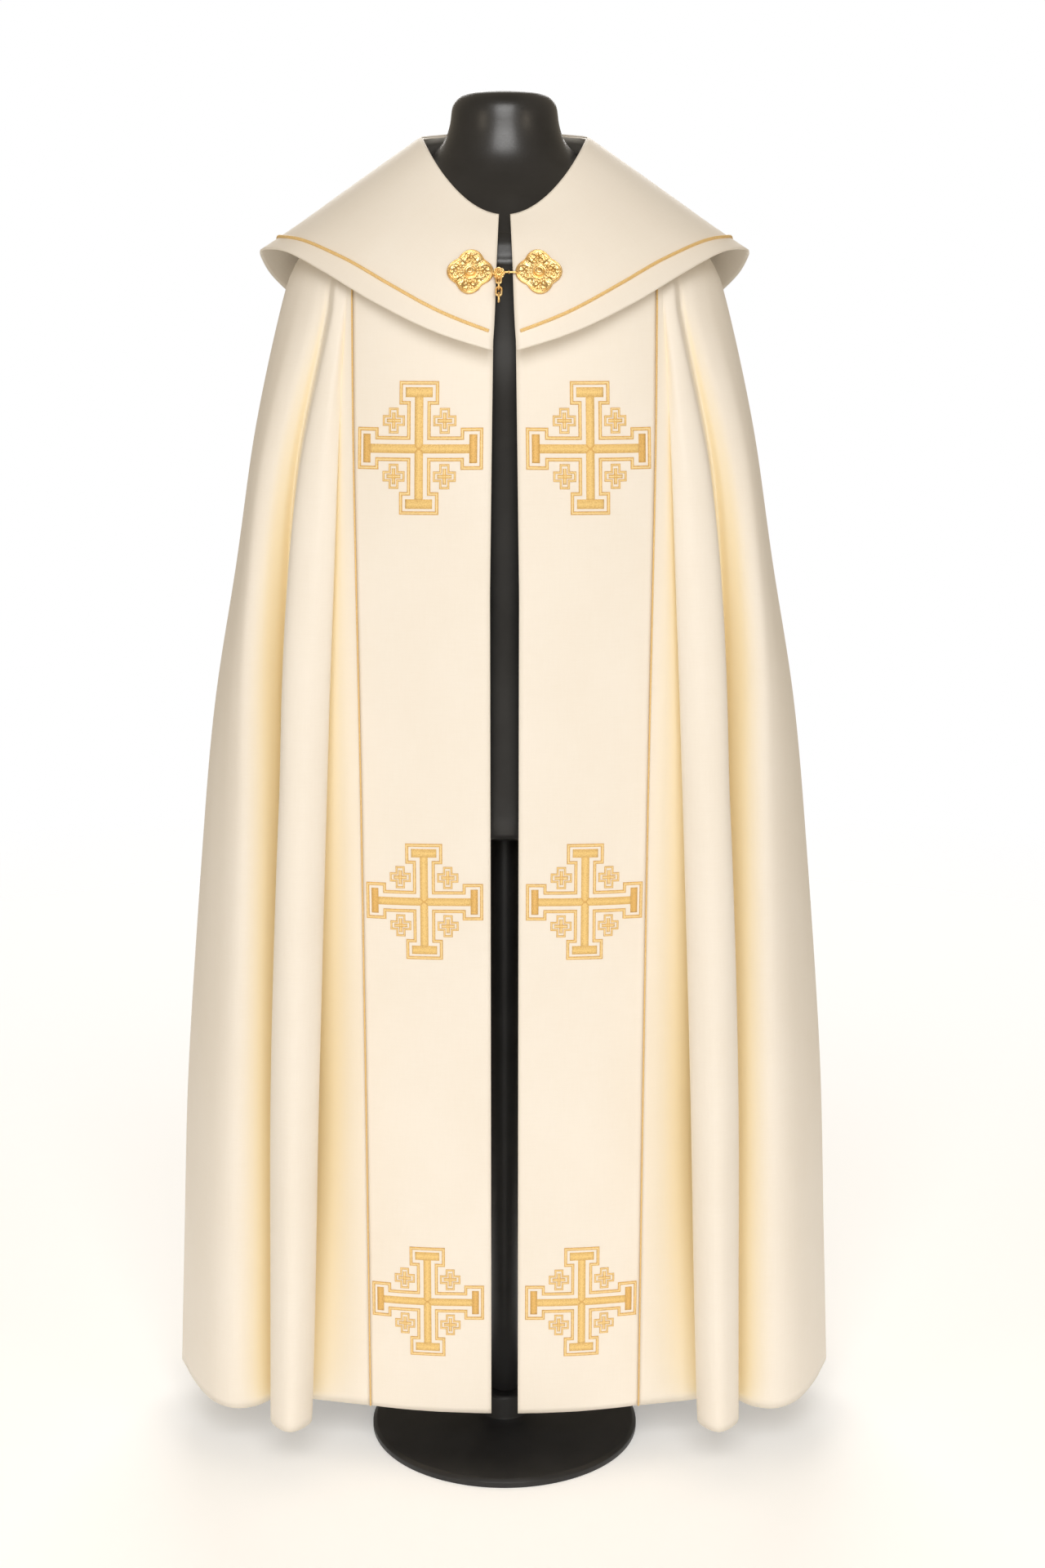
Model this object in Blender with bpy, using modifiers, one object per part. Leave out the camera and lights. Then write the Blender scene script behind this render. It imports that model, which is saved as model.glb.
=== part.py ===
"""Cope vestment with a shoulder cape and metal clasp, worn by a limbless dress form on a stand.

Metres, +Z up. The origin is on the floor, under the centre of the stand's base.
The wearer's front faces -Y.
"""

import functools
import math

import bpy
import numpy as np
from mathutils import Matrix, Vector

# Driving dimensions of the cloth
WALL = 0.0018
SEAM_GAP = 0.0003
HEM_HEIGHT = 0.07
FRONT_EDGE = 0.0165
NECK_EDGE = 0.0095
BAND_EDGE = 0.169
SEAM_TOP_HEIGHT = 1.477
SEAM_TOP_ANGLE = math.radians(45.24)
YOKE_HEIGHT = 1.431

# Rings of the cope from neckline to hem: heights at front, side and back, half width,
# then depths at front, side and back
RING_COLUMNS = ("z_front", "z_side", "z_back", "half_width", "y_front", "y_side", "y_back")
RINGS = (
    ("neckline", 1.529, 1.6126, 1.618, 0.093, -0.130, 0.000, 0.078),
    ("collar", 1.503, 1.5700, 1.592, 0.148, -0.146, 0.003, 0.112),
    ("shoulder", 1.472, 1.5240, 1.552, 0.205, -0.158, 0.006, 0.140),
    ("drop", 1.447, 1.4770, 1.500, 0.238, -0.167, 0.008, 0.156),
    ("yoke", 1.425, 1.4310, 1.440, 0.257, -0.173, 0.010, 0.165),
    ("chest", 1.280, 1.2800, 1.280, 0.294, -0.180, 0.020, 0.180),
    ("ribs", 1.120, 1.1200, 1.120, 0.321, -0.160, 0.022, 0.195),
    ("waist", 0.945, 0.9450, 0.945, 0.352, -0.134, 0.026, 0.212),
    ("hip", 0.750, 0.7500, 0.750, 0.374, -0.118, 0.030, 0.232),
    ("knee", 0.480, 0.4800, 0.480, 0.398, -0.109, 0.034, 0.258),
    ("calf", 0.250, 0.2500, 0.250, 0.410, -0.109, 0.037, 0.280),
    ("hem", HEM_HEIGHT, HEM_HEIGHT, HEM_HEIGHT, 0.419, -0.110, 0.040, 0.298),
)
ROWS_BETWEEN_RINGS = (2, 2, 1, 1, 2, 2, 2, 2, 1, 1, 1)

# Fold lines from the band's seam round to the side. The shares run from 0 at the seam to 1 at the side,
# at each of SHARE_HEIGHTS. shift_x and shift_y move the line at the hem off the plain ring, hollow moves it
# further back round the height peak, and start is the height where the line sets in.
SHARE_HEIGHTS = (0.07, 0.85, 1.28, 1.431)
FOLD_COLUMNS = ("hem", "hip", "chest", "yoke", "shift_x", "shift_y", "hollow", "peak", "start")
SIDE_FOLDS = (
    ("band_seam", 0.000, 0.000, 0.000, 0.00, -0.001, 0.009, 0.001, 0.42, 1.32),
    ("inner_slope", 0.100, 0.060, 0.030, 0.01, -0.002, 0.010, 0.006, 0.42, 1.32),
    ("inner_valley_edge", 0.170, 0.110, 0.055, 0.02, 0.002, 0.012, 0.020, 0.42, 1.32),
    ("inner_valley", 0.205, 0.140, 0.075, 0.03, 0.011, 0.022, 0.036, 0.42, 1.34),
    ("tube_right_wall", 0.218, 0.150, 0.085, 0.04, -0.006, -0.010, 0.012, 0.42, 1.36),
    ("tube_right_edge", 0.231, 0.168, 0.100, 0.05, -0.023, -0.054, 0.000, 0.42, 1.40),
    ("tube_crest", 0.255, 0.222, 0.165, 0.08, -0.009, -0.084, 0.000, 0.42, 1.50),
    ("tube_left_edge", 0.280, 0.278, 0.250, 0.13, 0.0065, -0.058, -0.008, 0.90, 1.54),
    ("tube_left_wall", 0.293, 0.294, 0.282, 0.16, -0.003, -0.016, 0.004, 1.05, 1.54),
    ("outer_valley", 0.310, 0.312, 0.320, 0.19, -0.007, 0.012, 0.036, 1.05, 1.52),
    ("outer_valley_edge", 0.340, 0.348, 0.385, 0.25, -0.007, -0.010, 0.026, 1.05, 1.52),
    ("lobe_right", 0.390, 0.410, 0.480, 0.34, -0.005, -0.034, 0.010, 1.10, 1.50),
    ("lobe_crest", 0.460, 0.490, 0.600, 0.48, 0.000, -0.048, 0.000, 1.10, 1.48),
    ("lobe_left", 0.560, 0.580, 0.690, 0.60, 0.001, -0.044, 0.000, 1.10, 1.46),
    ("side_front", 0.680, 0.690, 0.770, 0.72, 0.000, -0.024, 0.000, 1.10, 1.44),
    ("side_edge", 0.820, 0.825, 0.870, 0.86, 0.000, 0.000, 0.000, 1.10, 1.44),
    ("side", 1.000, 1.000, 1.000, 1.00, 0.001, 0.012, 0.000, 1.10, 1.44),
)
# Fold lines across the back, from the side (share 1) to the centre (share 2), pushed out of the ring
# by bulge at the hem
BACK_COLUMNS = ("share_top", "share_hem", "bulge", "start")
BACK_FOLDS = (
    ("side_valley", 1.10, 1.13, -0.026, 1.25),
    ("wing_crest", 1.21, 1.25, 0.034, 1.30),
    ("wing_valley", 1.34, 1.38, -0.032, 1.32),
    ("blade_crest", 1.48, 1.51, 0.030, 1.34),
    ("blade_valley", 1.61, 1.64, -0.026, 1.30),
    ("spine_crest", 1.75, 1.77, 0.024, 1.25),
    ("spine_valley", 1.89, 1.89, -0.016, 1.20),
    ("centre", 2.00, 2.00, 0.006, 1.20),
)
BACK_FOLD_DEPTH = {-1: 1.0, 1: 0.86}
SIDE_SAMPLES = 2
BACK_SAMPLES = 3
BAND_SPANS = 5
FLARE_POWER = 2.1
GROWTH_POWER = 1.6
SET_IN = 0.12

# Shoulder cape: a full round collar from the neckline to its own hem, lifted off the cope's first rings
CAPE_LIFTS = (0.0026, 0.0070, 0.0125)
CAPE_HALF_WIDTH = 0.283
CAPE_Y_FRONT = -0.206
CAPE_Y_SIDE = 0.004
CAPE_Y_BACK = 0.206
CAPE_NECK_EDGE = 0.0062
CAPE_FRONT_EDGE = 0.0133
CAPE_EDGE_POWER = 2.6
CAPE_POINTED_FRONT = 1.55
# Height of the cape's hem by the angle round the body, 0 at the front and 180 at the back
CAPE_HEM_ANGLES = (0, 15, 30, 45, 60, 75, 90, 105, 125, 150, 180)
CAPE_HEM_HEIGHTS = (1.385, 1.407, 1.437, 1.468, 1.488, 1.490, 1.483, 1.455, 1.414, 1.372, 1.352)
CAPE_SPANS = 56
CAPE_ROWS = 8

# Gold braid sewn round the cape and over the band seams
CAPE_BRAID_INSET = 0.026
CAPE_BRAID_RADIUS = 0.0021
CAPE_BRAID_END = 0.0045
CAPE_BRAID_DIP = 0.0065
CAPE_BRAID_DIP_SHARE = 0.10
BAND_BRAID_RADIUS = 0.0011
BRAID_START_LEVEL = 2.8
BRAID_GAP = 0.0003

# Clasp: two quatrefoil plates, a rosette on a stem beside the left one, a hook from the right one,
# and a chain's tail
CLASP_HEIGHT = 1.4705
PLATE_RADIUS = 0.0258
PLATE_X = 0.0373
PLATE_LOBE = 0.10
PLATE_POINTS = 32
PLATE_TURN = math.radians(6)
# The plate's relief: share of the outline's radius and level over the cape
PLATE_PROFILE = (
    (1.00, 0.0004),
    (1.00, 0.0017),
    (0.93, 0.0026),
    (0.84, 0.0018),
    (0.50, 0.0018),
    (0.41, 0.0040),
    (0.30, 0.0028),
    (0.18, 0.0054),
    (0.04, 0.0080),
)
STEM_X = -0.0062
STEM_DROP = 0.0045
STEM_PROFILE = (
    (0.0049, 0.0004),
    (0.0049, 0.0022),
    (0.0012, 0.0024),
    (0.0012, 0.0077),
    (0.0062, 0.0079),
    (0.0062, 0.0089),
    (0.0042, 0.0099),
    (0.0024, 0.0099),
    (0.0006, 0.0113),
)
STEM_SIDES = 20
STEM_RADIUS = 0.0012
WIRE_GAP = 0.0004
HOOK_WIRE = 0.0012
HOOK_LEVEL = 0.0038
HOOK_END_X = 0.0110
LINK_WIRE = 0.0011
LINK_HALF_WIDTH = 0.0030
LINK_LEVEL = 0.0064
FIRST_LINK_LENGTH = 0.0084
LINK_LENGTH = 0.0042
LINK_COUNT = 4
LINK_ARC_STEPS = 6

# Dress form, in rings like the cope's, from the seat up
FORM_RINGS = (
    ("seat_edge", 0.800, 0.800, 0.800, 0.110, -0.070, 0.005, 0.085),
    ("seat_round", 0.812, 0.812, 0.812, 0.142, -0.085, 0.008, 0.108),
    ("hip", 0.860, 0.860, 0.860, 0.165, -0.094, 0.010, 0.125),
    ("waist", 1.060, 1.060, 1.060, 0.148, -0.094, 0.008, 0.104),
    ("ribs", 1.220, 1.220, 1.220, 0.170, -0.122, 0.006, 0.122),
    ("chest", 1.330, 1.330, 1.330, 0.188, -0.142, 0.006, 0.130),
    ("armpit", 1.410, 1.410, 1.410, 0.200, -0.145, 0.006, 0.134),
    ("shoulder", 1.462, 1.490, 1.520, 0.203, -0.149, 0.006, 0.136),
)
# The form's shoulders follow the cope's rings, which rest on them: ring level and how far inside
# the cloth's middle
FORM_SHOULDER = ((1.75, 0.0024), (1.5, 0.0019), (1.25, 0.0019), (1.0, 0.0019), (0.7, 0.0030), (0.4, 0.0065))
FORM_NECK = (
    ("flare", 1.546, 1.590, 1.598, 0.0890, -0.1050, 0.003, 0.0760),
    ("flare_top", 1.566, 1.601, 1.607, 0.0765, -0.0840, 0.003, 0.0710),
    ("neck_foot", 1.590, 1.612, 1.618, 0.0680, -0.0660, 0.003, 0.0680),
    ("neck", 1.618, 1.628, 1.632, 0.0625, -0.0570, 0.003, 0.0650),
    ("neck_high", 1.648, 1.649, 1.650, 0.0590, -0.0530, 0.003, 0.0610),
    ("neck_round", 1.661, 1.661, 1.661, 0.0500, -0.0440, 0.003, 0.0520),
    ("neck_top", 1.666, 1.666, 1.666, 0.0360, -0.0300, 0.003, 0.0380),
)
FORM_SIDES = 40

# Stand: (radius, height) from the floor up
BASE_PROFILE = (
    (0.170, 0.0),
    (0.170, 0.007),
    (0.165, 0.011),
    (0.045, 0.015),
    (0.032, 0.020),
    (0.032, 0.048),
    (0.029, 0.051),
)
POLE_PROFILE = ((0.0175, 0.0513), (0.0175, 0.7997))
BASE_SIDES = 48
POLE_SIDES = 24

CREAM = (0.90, 0.83, 0.70)
GOLD_THREAD = (0.80, 0.58, 0.22)
GOLD_METAL = (0.86, 0.62, 0.20)
FORM_BLACK = (0.015, 0.014, 0.014)


def smooth_curve(at, heights, x):
    """Cubic curve through the points (at, heights), read at x."""
    at = np.asarray(at, float)
    heights = np.asarray(heights, float)
    slope = np.gradient(heights, at)
    i = int(np.clip(np.searchsorted(at, x) - 1, 0, len(at) - 2))
    span = at[i + 1] - at[i]
    s = (x - at[i]) / span
    rise, fall = s * s * (3 - 2 * s), 1 - s * s * (3 - 2 * s)
    return (
        fall * heights[i]
        + rise * heights[i + 1]
        + span * s * (1 - s) * ((1 - s) * slope[i] - s * slope[i + 1])
    )


def through(points, samples):
    """Catmull-Rom curve through points, with samples[i] steps in the span after point i."""
    p = np.asarray(points, float)
    p = np.vstack([2 * p[0] - p[1], p, 2 * p[-1] - p[-2]])
    made = []
    for i, steps in enumerate(samples, 1):
        for k in range(steps):
            s = k / steps
            made.append(
                p[i]
                + 0.5 * s * (p[i + 1] - p[i - 1])
                + s * s * (p[i - 1] - 2.5 * p[i] + 2 * p[i + 1] - 0.5 * p[i + 2])
                + s**3 * (1.5 * (p[i] - p[i + 1]) + 0.5 * (p[i + 2] - p[i - 1]))
            )
    made.append(p[-2])
    return np.array(made)


def named_ring(row):
    return dict(zip(RING_COLUMNS, row[1:]))


@functools.cache
def ring_at(level):
    """The cope's ring at a level, 0 at the neckline and len(RINGS) - 1 at the hem, as a dictionary."""
    return {
        name: smooth_curve(range(len(RINGS)), [row[i + 1] for row in RINGS], level)
        for i, name in enumerate(RING_COLUMNS)
    }


def ring_point(ring, angle):
    """Point of an elliptical ring at an angle, 0 at the front and pi at the back."""
    far = "front" if angle < math.pi / 2 else "back"
    share = math.cos(angle) ** 2
    side = abs(math.cos(angle))
    return np.array(
        [
            ring["half_width"] * math.sin(angle),
            ring["y_side"] + (ring["y_" + far] - ring["y_side"]) * side,
            ring["z_side"] + (ring["z_" + far] - ring["z_side"]) * share,
        ]
    )


def band_angle(ring):
    """Angle of the seam between the front band and the body."""
    if ring["z_side"] >= SEAM_TOP_HEIGHT:
        return SEAM_TOP_ANGLE
    return math.asin(BAND_EDGE / ring["half_width"])


def front_edge_angle(ring):
    """Angle of the open front edge, which stands wider below the neck."""
    drop = np.clip((RINGS[0][2] - ring["z_side"]) / 0.5, 0, 1)
    return math.asin((NECK_EDGE + (FRONT_EDGE - NECK_EDGE) * drop) / ring["half_width"])


def flare(z):
    """How far a fold line has moved from its place at the yoke to its place at the hem."""
    drop = np.clip((YOKE_HEIGHT - z) / (YOKE_HEIGHT - HEM_HEIGHT), 0, 1)
    return 1 - (1 - drop) ** FLARE_POWER


def growth(z, start):
    """Depth of a fold at height z as a share of its depth at the hem. It sets in with no kink."""
    drop = np.clip((start - z) / (start - HEM_HEIGHT), 0, 1)
    set_in = min(drop / SET_IN, 1)
    return (1 - (1 - drop) ** GROWTH_POWER) * set_in * (2 - set_in)


def side_line(ring, fold):
    """Point of one of SIDE_FOLDS on a ring."""
    row = dict(zip(FOLD_COLUMNS, fold[1:]))
    z = ring["z_side"]
    shares = [row[name] for name in FOLD_COLUMNS[:4]]
    share = smooth_curve(SHARE_HEIGHTS, shares, min(z, SHARE_HEIGHTS[-1]))
    seam = band_angle(ring)
    point = ring_point(ring, seam + share * (math.pi / 2 - seam))
    depth = growth(z, row["start"])
    length = row["start"] - HEM_HEIGHT
    down = np.clip((row["start"] - z) / length, 0, 1)
    turn = math.log(0.5) / math.log((row["start"] - row["peak"]) / length)
    hollow = row["hollow"] * math.sin(math.pi * down**turn) ** 2
    return point + np.array([depth * row["shift_x"], depth * row["shift_y"] + hollow, 0])


def back_line(ring, fold, side):
    """Point of one of BACK_FOLDS on a ring."""
    row = dict(zip(BACK_COLUMNS, fold[1:]))
    z = ring["z_side"]
    share = row["share_top"] + (row["share_hem"] - row["share_top"]) * flare(z)
    angle = share * math.pi / 2
    across = ring["y_back"] - ring["y_side"]
    out = np.array([math.sin(angle) / ring["half_width"], -math.cos(angle) / across, 0])
    out /= np.linalg.norm(out)
    bulge = row["bulge"] * BACK_FOLD_DEPTH[side] * growth(z, row["start"])
    if fold[0] == "centre":
        bulge = row["bulge"] * growth(z, row["start"])
    return ring_point(ring, angle) + bulge * out


def levels():
    """Ring levels of the cloth's rows, from the neckline to the hem."""
    made = []
    for i, rows in enumerate(ROWS_BETWEEN_RINGS):
        made += [i + k / rows for k in range(rows)]
    return made + [len(RINGS) - 1]


def body_row(level):
    """Points of the body at a level, from the left band's seam round the back to the right one."""
    ring = ring_at(level)
    halves = {}
    for side in (-1, 1):
        lines = [side_line(ring, fold) for fold in SIDE_FOLDS]
        lines += [back_line(ring, fold, side) for fold in BACK_FOLDS]
        halves[side] = [line * (side, 1, 1) for line in lines]
    samples = [SIDE_SAMPLES] * (len(SIDE_FOLDS) - 1) + [BACK_SAMPLES] * len(BACK_FOLDS)
    return through(halves[-1] + halves[1][-2::-1], samples + samples[::-1])


def band_row(level, side):
    """Points of a front band at a level, from its free edge to its seam."""
    ring = ring_at(level)
    start, end = front_edge_angle(ring), band_angle(ring)
    seam = side_line(ring, SIDE_FOLDS[0]) - ring_point(ring, end)
    made = []
    for k in range(BAND_SPANS + 1):
        share = k / BAND_SPANS
        point = ring_point(ring, start + (end - start) * share) + seam * share**2
        made.append(point * (side, 1, 1))
    return np.array(made)



def moved_in(row, end, distance):
    """The row with the point at one end moved along the row, away from that end."""
    row = row.copy()
    near = 1 if end == 0 else -2
    step = row[near] - row[end]
    row[end] += step / np.linalg.norm(step) * distance
    return row


def grid_normals(grid):
    """Unit normals of a grid of points, by the slopes along its rows and columns."""
    down = np.gradient(grid, axis=0)
    along = np.gradient(grid, axis=1)
    normal = np.cross(along, down)
    return normal / np.linalg.norm(normal, axis=2, keepdims=True)


def material(name, colour, roughness, metallic=0.0):
    made = bpy.data.materials.new(name)
    made.use_nodes = True
    shader = made.node_tree.nodes["Principled BSDF"]
    shader.inputs["Base Color"].default_value = (*colour, 1)
    shader.inputs["Roughness"].default_value = roughness
    shader.inputs["Metallic"].default_value = metallic
    return made


def add_object(name, mesh, finish, collection):
    obj = bpy.data.objects.new(name, mesh)
    obj.data.materials.append(finish)
    collection.objects.link(obj)
    return obj


def cloth(name, grid, finish, collection):
    """An open sheet through a grid of points, given the cloth's thickness by Solidify."""
    rows, columns = grid.shape[:2]
    faces = [
        (r * columns + c, r * columns + c + 1, (r + 1) * columns + c + 1, (r + 1) * columns + c)
        for r in range(rows - 1)
        for c in range(columns - 1)
    ]
    mesh = bpy.data.meshes.new(name)
    mesh.from_pydata([tuple(p) for p in grid.reshape(-1, 3)], [], faces)
    mesh.shade_smooth()
    obj = add_object(name, mesh, finish, collection)
    wall = obj.modifiers.new("Wall", "SOLIDIFY")
    wall.thickness = WALL
    wall.offset = 0
    return obj


def tube(name, points, radius, finish, collection, closed=False, resolution=2):
    """A round cord or wire along points, with filled ends."""
    curve = bpy.data.curves.new(name, "CURVE")
    curve.dimensions = "3D"
    curve.bevel_depth = radius
    curve.bevel_resolution = resolution
    curve.use_fill_caps = not closed
    spline = curve.splines.new("POLY")
    spline.points.add(len(points) - 1)
    for slot, point in zip(spline.points, points):
        slot.co = (*point, 1)
    spline.use_cyclic_u = closed
    return add_object(name, curve, finish, collection)


@functools.cache
def cape_profile(angle):
    """Line of the cape from neckline to hem at an angle, as four points."""
    out = np.array([math.sin(angle), -math.cos(angle), 1.0]) / math.sqrt(2)
    line = [
        ring_point(ring_at(level), angle) + lift * out for level, lift in enumerate(CAPE_LIFTS)
    ]
    front = angle < math.pi / 2
    depth = CAPE_Y_FRONT if front else CAPE_Y_BACK
    share = abs(math.cos(angle)) ** (CAPE_POINTED_FRONT if front else 1)
    line.append(
        [
            CAPE_HALF_WIDTH * math.sin(angle),
            CAPE_Y_SIDE + (depth - CAPE_Y_SIDE) * share,
            smooth_curve(CAPE_HEM_ANGLES, CAPE_HEM_HEIGHTS, math.degrees(angle)),
        ]
    )
    return np.array(line)


def cape_surface(angle, down):
    """Point of the cape's middle surface at an angle, down from 0 at the neckline to 1 at the hem."""
    line = cape_profile(angle)
    length = np.concatenate([[0], np.cumsum(np.linalg.norm(np.diff(line, axis=0), axis=1))])
    length /= length[-1]
    return np.array([smooth_curve(length, line[:, i], down) for i in range(3)])


def cape_point(around, down):
    """Point of the cape. around runs from -1 at the left front edge to 1 at the right one."""
    edge = CAPE_NECK_EDGE + (CAPE_FRONT_EDGE - CAPE_NECK_EDGE) * down**CAPE_EDGE_POWER
    start = math.asin(edge / cape_surface(math.pi / 2, down)[0])
    point = cape_surface(math.pi - (math.pi - start) * abs(around), down)
    return point * (-1 if around < 0 else 1, 1, 1)


def cape_grid():
    around = np.linspace(-1, 1, CAPE_SPANS + 1)
    down = np.linspace(0, 1, CAPE_ROWS + 1)
    return np.array([[cape_point(a, d) for a in around] for d in down])


def cape_frame(x, z):
    """Matrix at x and z on the cape's outer face, with X to the side, Y up the slope and Z outward."""
    angle = 0.0
    down = 0.5
    step = 1e-4
    for _ in range(12):
        here = cape_surface(angle, down)
        by_angle = (cape_surface(angle + step, down) - here) / step
        by_down = (cape_surface(angle, down + step) - here) / step
        slopes = np.array([[by_angle[0], by_down[0]], [by_angle[2], by_down[2]]])
        change = np.linalg.solve(slopes, [abs(x) - here[0], z - here[2]])
        angle += change[0]
        down += change[1]
    side = Vector(by_angle).normalized()
    up = -Vector(by_down).normalized()
    out = side.cross(up).normalized()
    here = Vector(here)
    if x < 0:
        here.x, out.x, up.x = -here.x, -out.x, -up.x
    side = up.cross(out).normalized()
    made = Matrix((side, up, out)).transposed().to_4x4()
    made.translation = here + out * WALL / 2
    return made


def lofted(name, rings, finish, collection):
    """A closed solid through rings with the same number of points, capped at both ends."""
    sides = len(rings[0])
    mesh = bpy.data.meshes.new(name)
    faces = [
        (
            r * sides + k,
            r * sides + (k + 1) % sides,
            (r + 1) * sides + (k + 1) % sides,
            (r + 1) * sides + k,
        )
        for r in range(len(rings) - 1)
        for k in range(sides)
    ]
    faces.append(tuple(reversed(range(sides))))
    faces.append(tuple((len(rings) - 1) * sides + k for k in range(sides)))
    mesh.from_pydata([tuple(p) for ring in rings for p in ring], [], faces)
    mesh.shade_smooth()
    return add_object(name, mesh, finish, collection)


def round_ring(point_at):
    """Points right round a ring whose one half is given by point_at(angle)."""
    made = []
    for k in range(FORM_SIDES):
        angle = 2 * math.pi * k / FORM_SIDES
        half = angle if angle <= math.pi else 2 * math.pi - angle
        made.append(np.asarray(point_at(half)) * (1 if angle <= math.pi else -1, 1, 1))
    return made


def worn_point(level, inset, angle):
    """Point under the cope's rings, inside the middle of the cloth by inset."""
    step = 1e-3
    here = ring_point(ring_at(level), angle)
    down = ring_point(ring_at(level + step), angle) - here
    turn = max(min(angle, math.pi - step), step)
    along = ring_point(ring_at(level), turn + step) - ring_point(ring_at(level), turn - step)
    out = np.cross(down, along)
    out /= np.linalg.norm(out)
    if angle in (0, math.pi):
        out[0] = 0
    return here - out * inset


def form_rings():
    rings = [round_ring(lambda a, row=row: ring_point(named_ring(row), a)) for row in FORM_RINGS]
    for level, inset in FORM_SHOULDER:
        rings.append(round_ring(lambda a, level=level, inset=inset: worn_point(level, inset, a)))
    rings += [round_ring(lambda a, row=row: ring_point(named_ring(row), a)) for row in FORM_NECK]
    return rings


def turned(name, profile, sides, finish, collection):
    """A round solid about the Z axis from (radius, z) pairs, bottom to top."""
    rings = [
        [
            (radius * math.cos(2 * math.pi * k / sides), radius * math.sin(2 * math.pi * k / sides), z)
            for k in range(sides)
        ]
        for radius, z in profile
    ]
    return lofted(name, rings, finish, collection)


def flat_length(points, distance):
    """Point that lies a distance along a line of points, and its place in the line."""
    points = np.asarray(points)
    steps = np.linalg.norm(np.diff(points, axis=0), axis=1)
    at = np.concatenate([[0], np.cumsum(steps)])
    i = int(np.clip(np.searchsorted(at, distance) - 1, 0, len(steps) - 1))
    share = (distance - at[i]) / steps[i]
    return points[i] + (points[i + 1] - points[i]) * share, i + share


def cape_braid_path(cape):
    """Line on the cape's outer face, up from its hem, that comes nearer to it at the front edges."""
    normals = grid_normals(cape)
    path = []
    last = cape.shape[1] - 1
    for column in range(cape.shape[1]):
        up = cape[::-1, column]
        dip = max(0.0, 1 - min(column, last - column) / last / CAPE_BRAID_DIP_SHARE) ** 2
        point, at = flat_length(up, CAPE_BRAID_INSET - CAPE_BRAID_DIP * dip)
        row = len(up) - 1 - round(at)
        path.append(point + normals[row, column] * (WALL / 2 + BRAID_GAP + CAPE_BRAID_RADIUS))
    path[0] = flat_length(path, CAPE_BRAID_END)[0]
    path[-1] = flat_length(path[::-1], CAPE_BRAID_END)[0]
    return path


def band_braid_path(body, column, other):
    """Line over the seam at a column of the body, lifted off the two cloths that meet there."""
    normals = grid_normals(body)
    first = next(i for i, level in enumerate(levels()) if level >= BRAID_START_LEVEL)
    lift = WALL / 2 + BRAID_GAP + BAND_BRAID_RADIUS
    return [
        body[row, column] + (body[row, other] - body[row, column]) * 0.05 + normals[row, column] * lift
        for row in range(first, len(body))
    ]


def placed(obj, frame):
    obj.matrix_world = frame
    return obj


def plate(name, side, finish, collection):
    rings = []
    for share, level in PLATE_PROFILE:
        ring = []
        for k in range(PLATE_POINTS):
            angle = 2 * math.pi * k / PLATE_POINTS
            radius = PLATE_RADIUS * share * (1 + PLATE_LOBE * (math.cos(4 * angle) - 1))
            ring.append((radius * math.cos(angle), radius * math.sin(angle), level))
        rings.append(ring)
    frame = cape_frame(side * PLATE_X, CLASP_HEIGHT)
    turn = Matrix.Rotation(-side * PLATE_TURN, 4, "Z")
    return placed(lofted(name, rings, finish, collection), frame @ turn)


def hook_path():
    """Wire from the right plate to the stem, and round it."""
    radius = STEM_RADIUS + WIRE_GAP + HOOK_WIRE
    turns = [math.radians(90 + a) for a in range(0, 241, 30)]
    bend = [(STEM_X + radius * math.cos(t), radius * math.sin(t), HOOK_LEVEL) for t in turns]
    return [(HOOK_END_X, radius, HOOK_LEVEL), *bend]


def link_path(top, bottom, half_width, flat):
    """Closed loop of a chain link between two arc centres. A flat one lies along the cloth."""
    path = []
    for centre, start in ((top, 0), (bottom, math.pi)):
        for k in range(LINK_ARC_STEPS + 1):
            angle = start + math.pi * k / LINK_ARC_STEPS
            across = half_width * math.cos(angle)
            up = centre + half_width * math.sin(angle)
            path.append((STEM_X + across, up, LINK_LEVEL) if flat else (STEM_X, up, LINK_LEVEL + across))
    return path


def chain_links():
    """Loops of the tail, each held by the one above; the first goes round the stem."""
    first = STEM_RADIUS + WIRE_GAP + LINK_WIRE
    loops = [link_path(0, -FIRST_LINK_LENGTH, first, True)]
    bottom = -FIRST_LINK_LENGTH - first
    for i in range(1, LINK_COUNT):
        end = bottom - LINK_LENGTH
        loops.append(link_path(bottom, end, LINK_HALF_WIDTH, i % 2 == 0))
        bottom = end - LINK_HALF_WIDTH
    return loops


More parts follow.
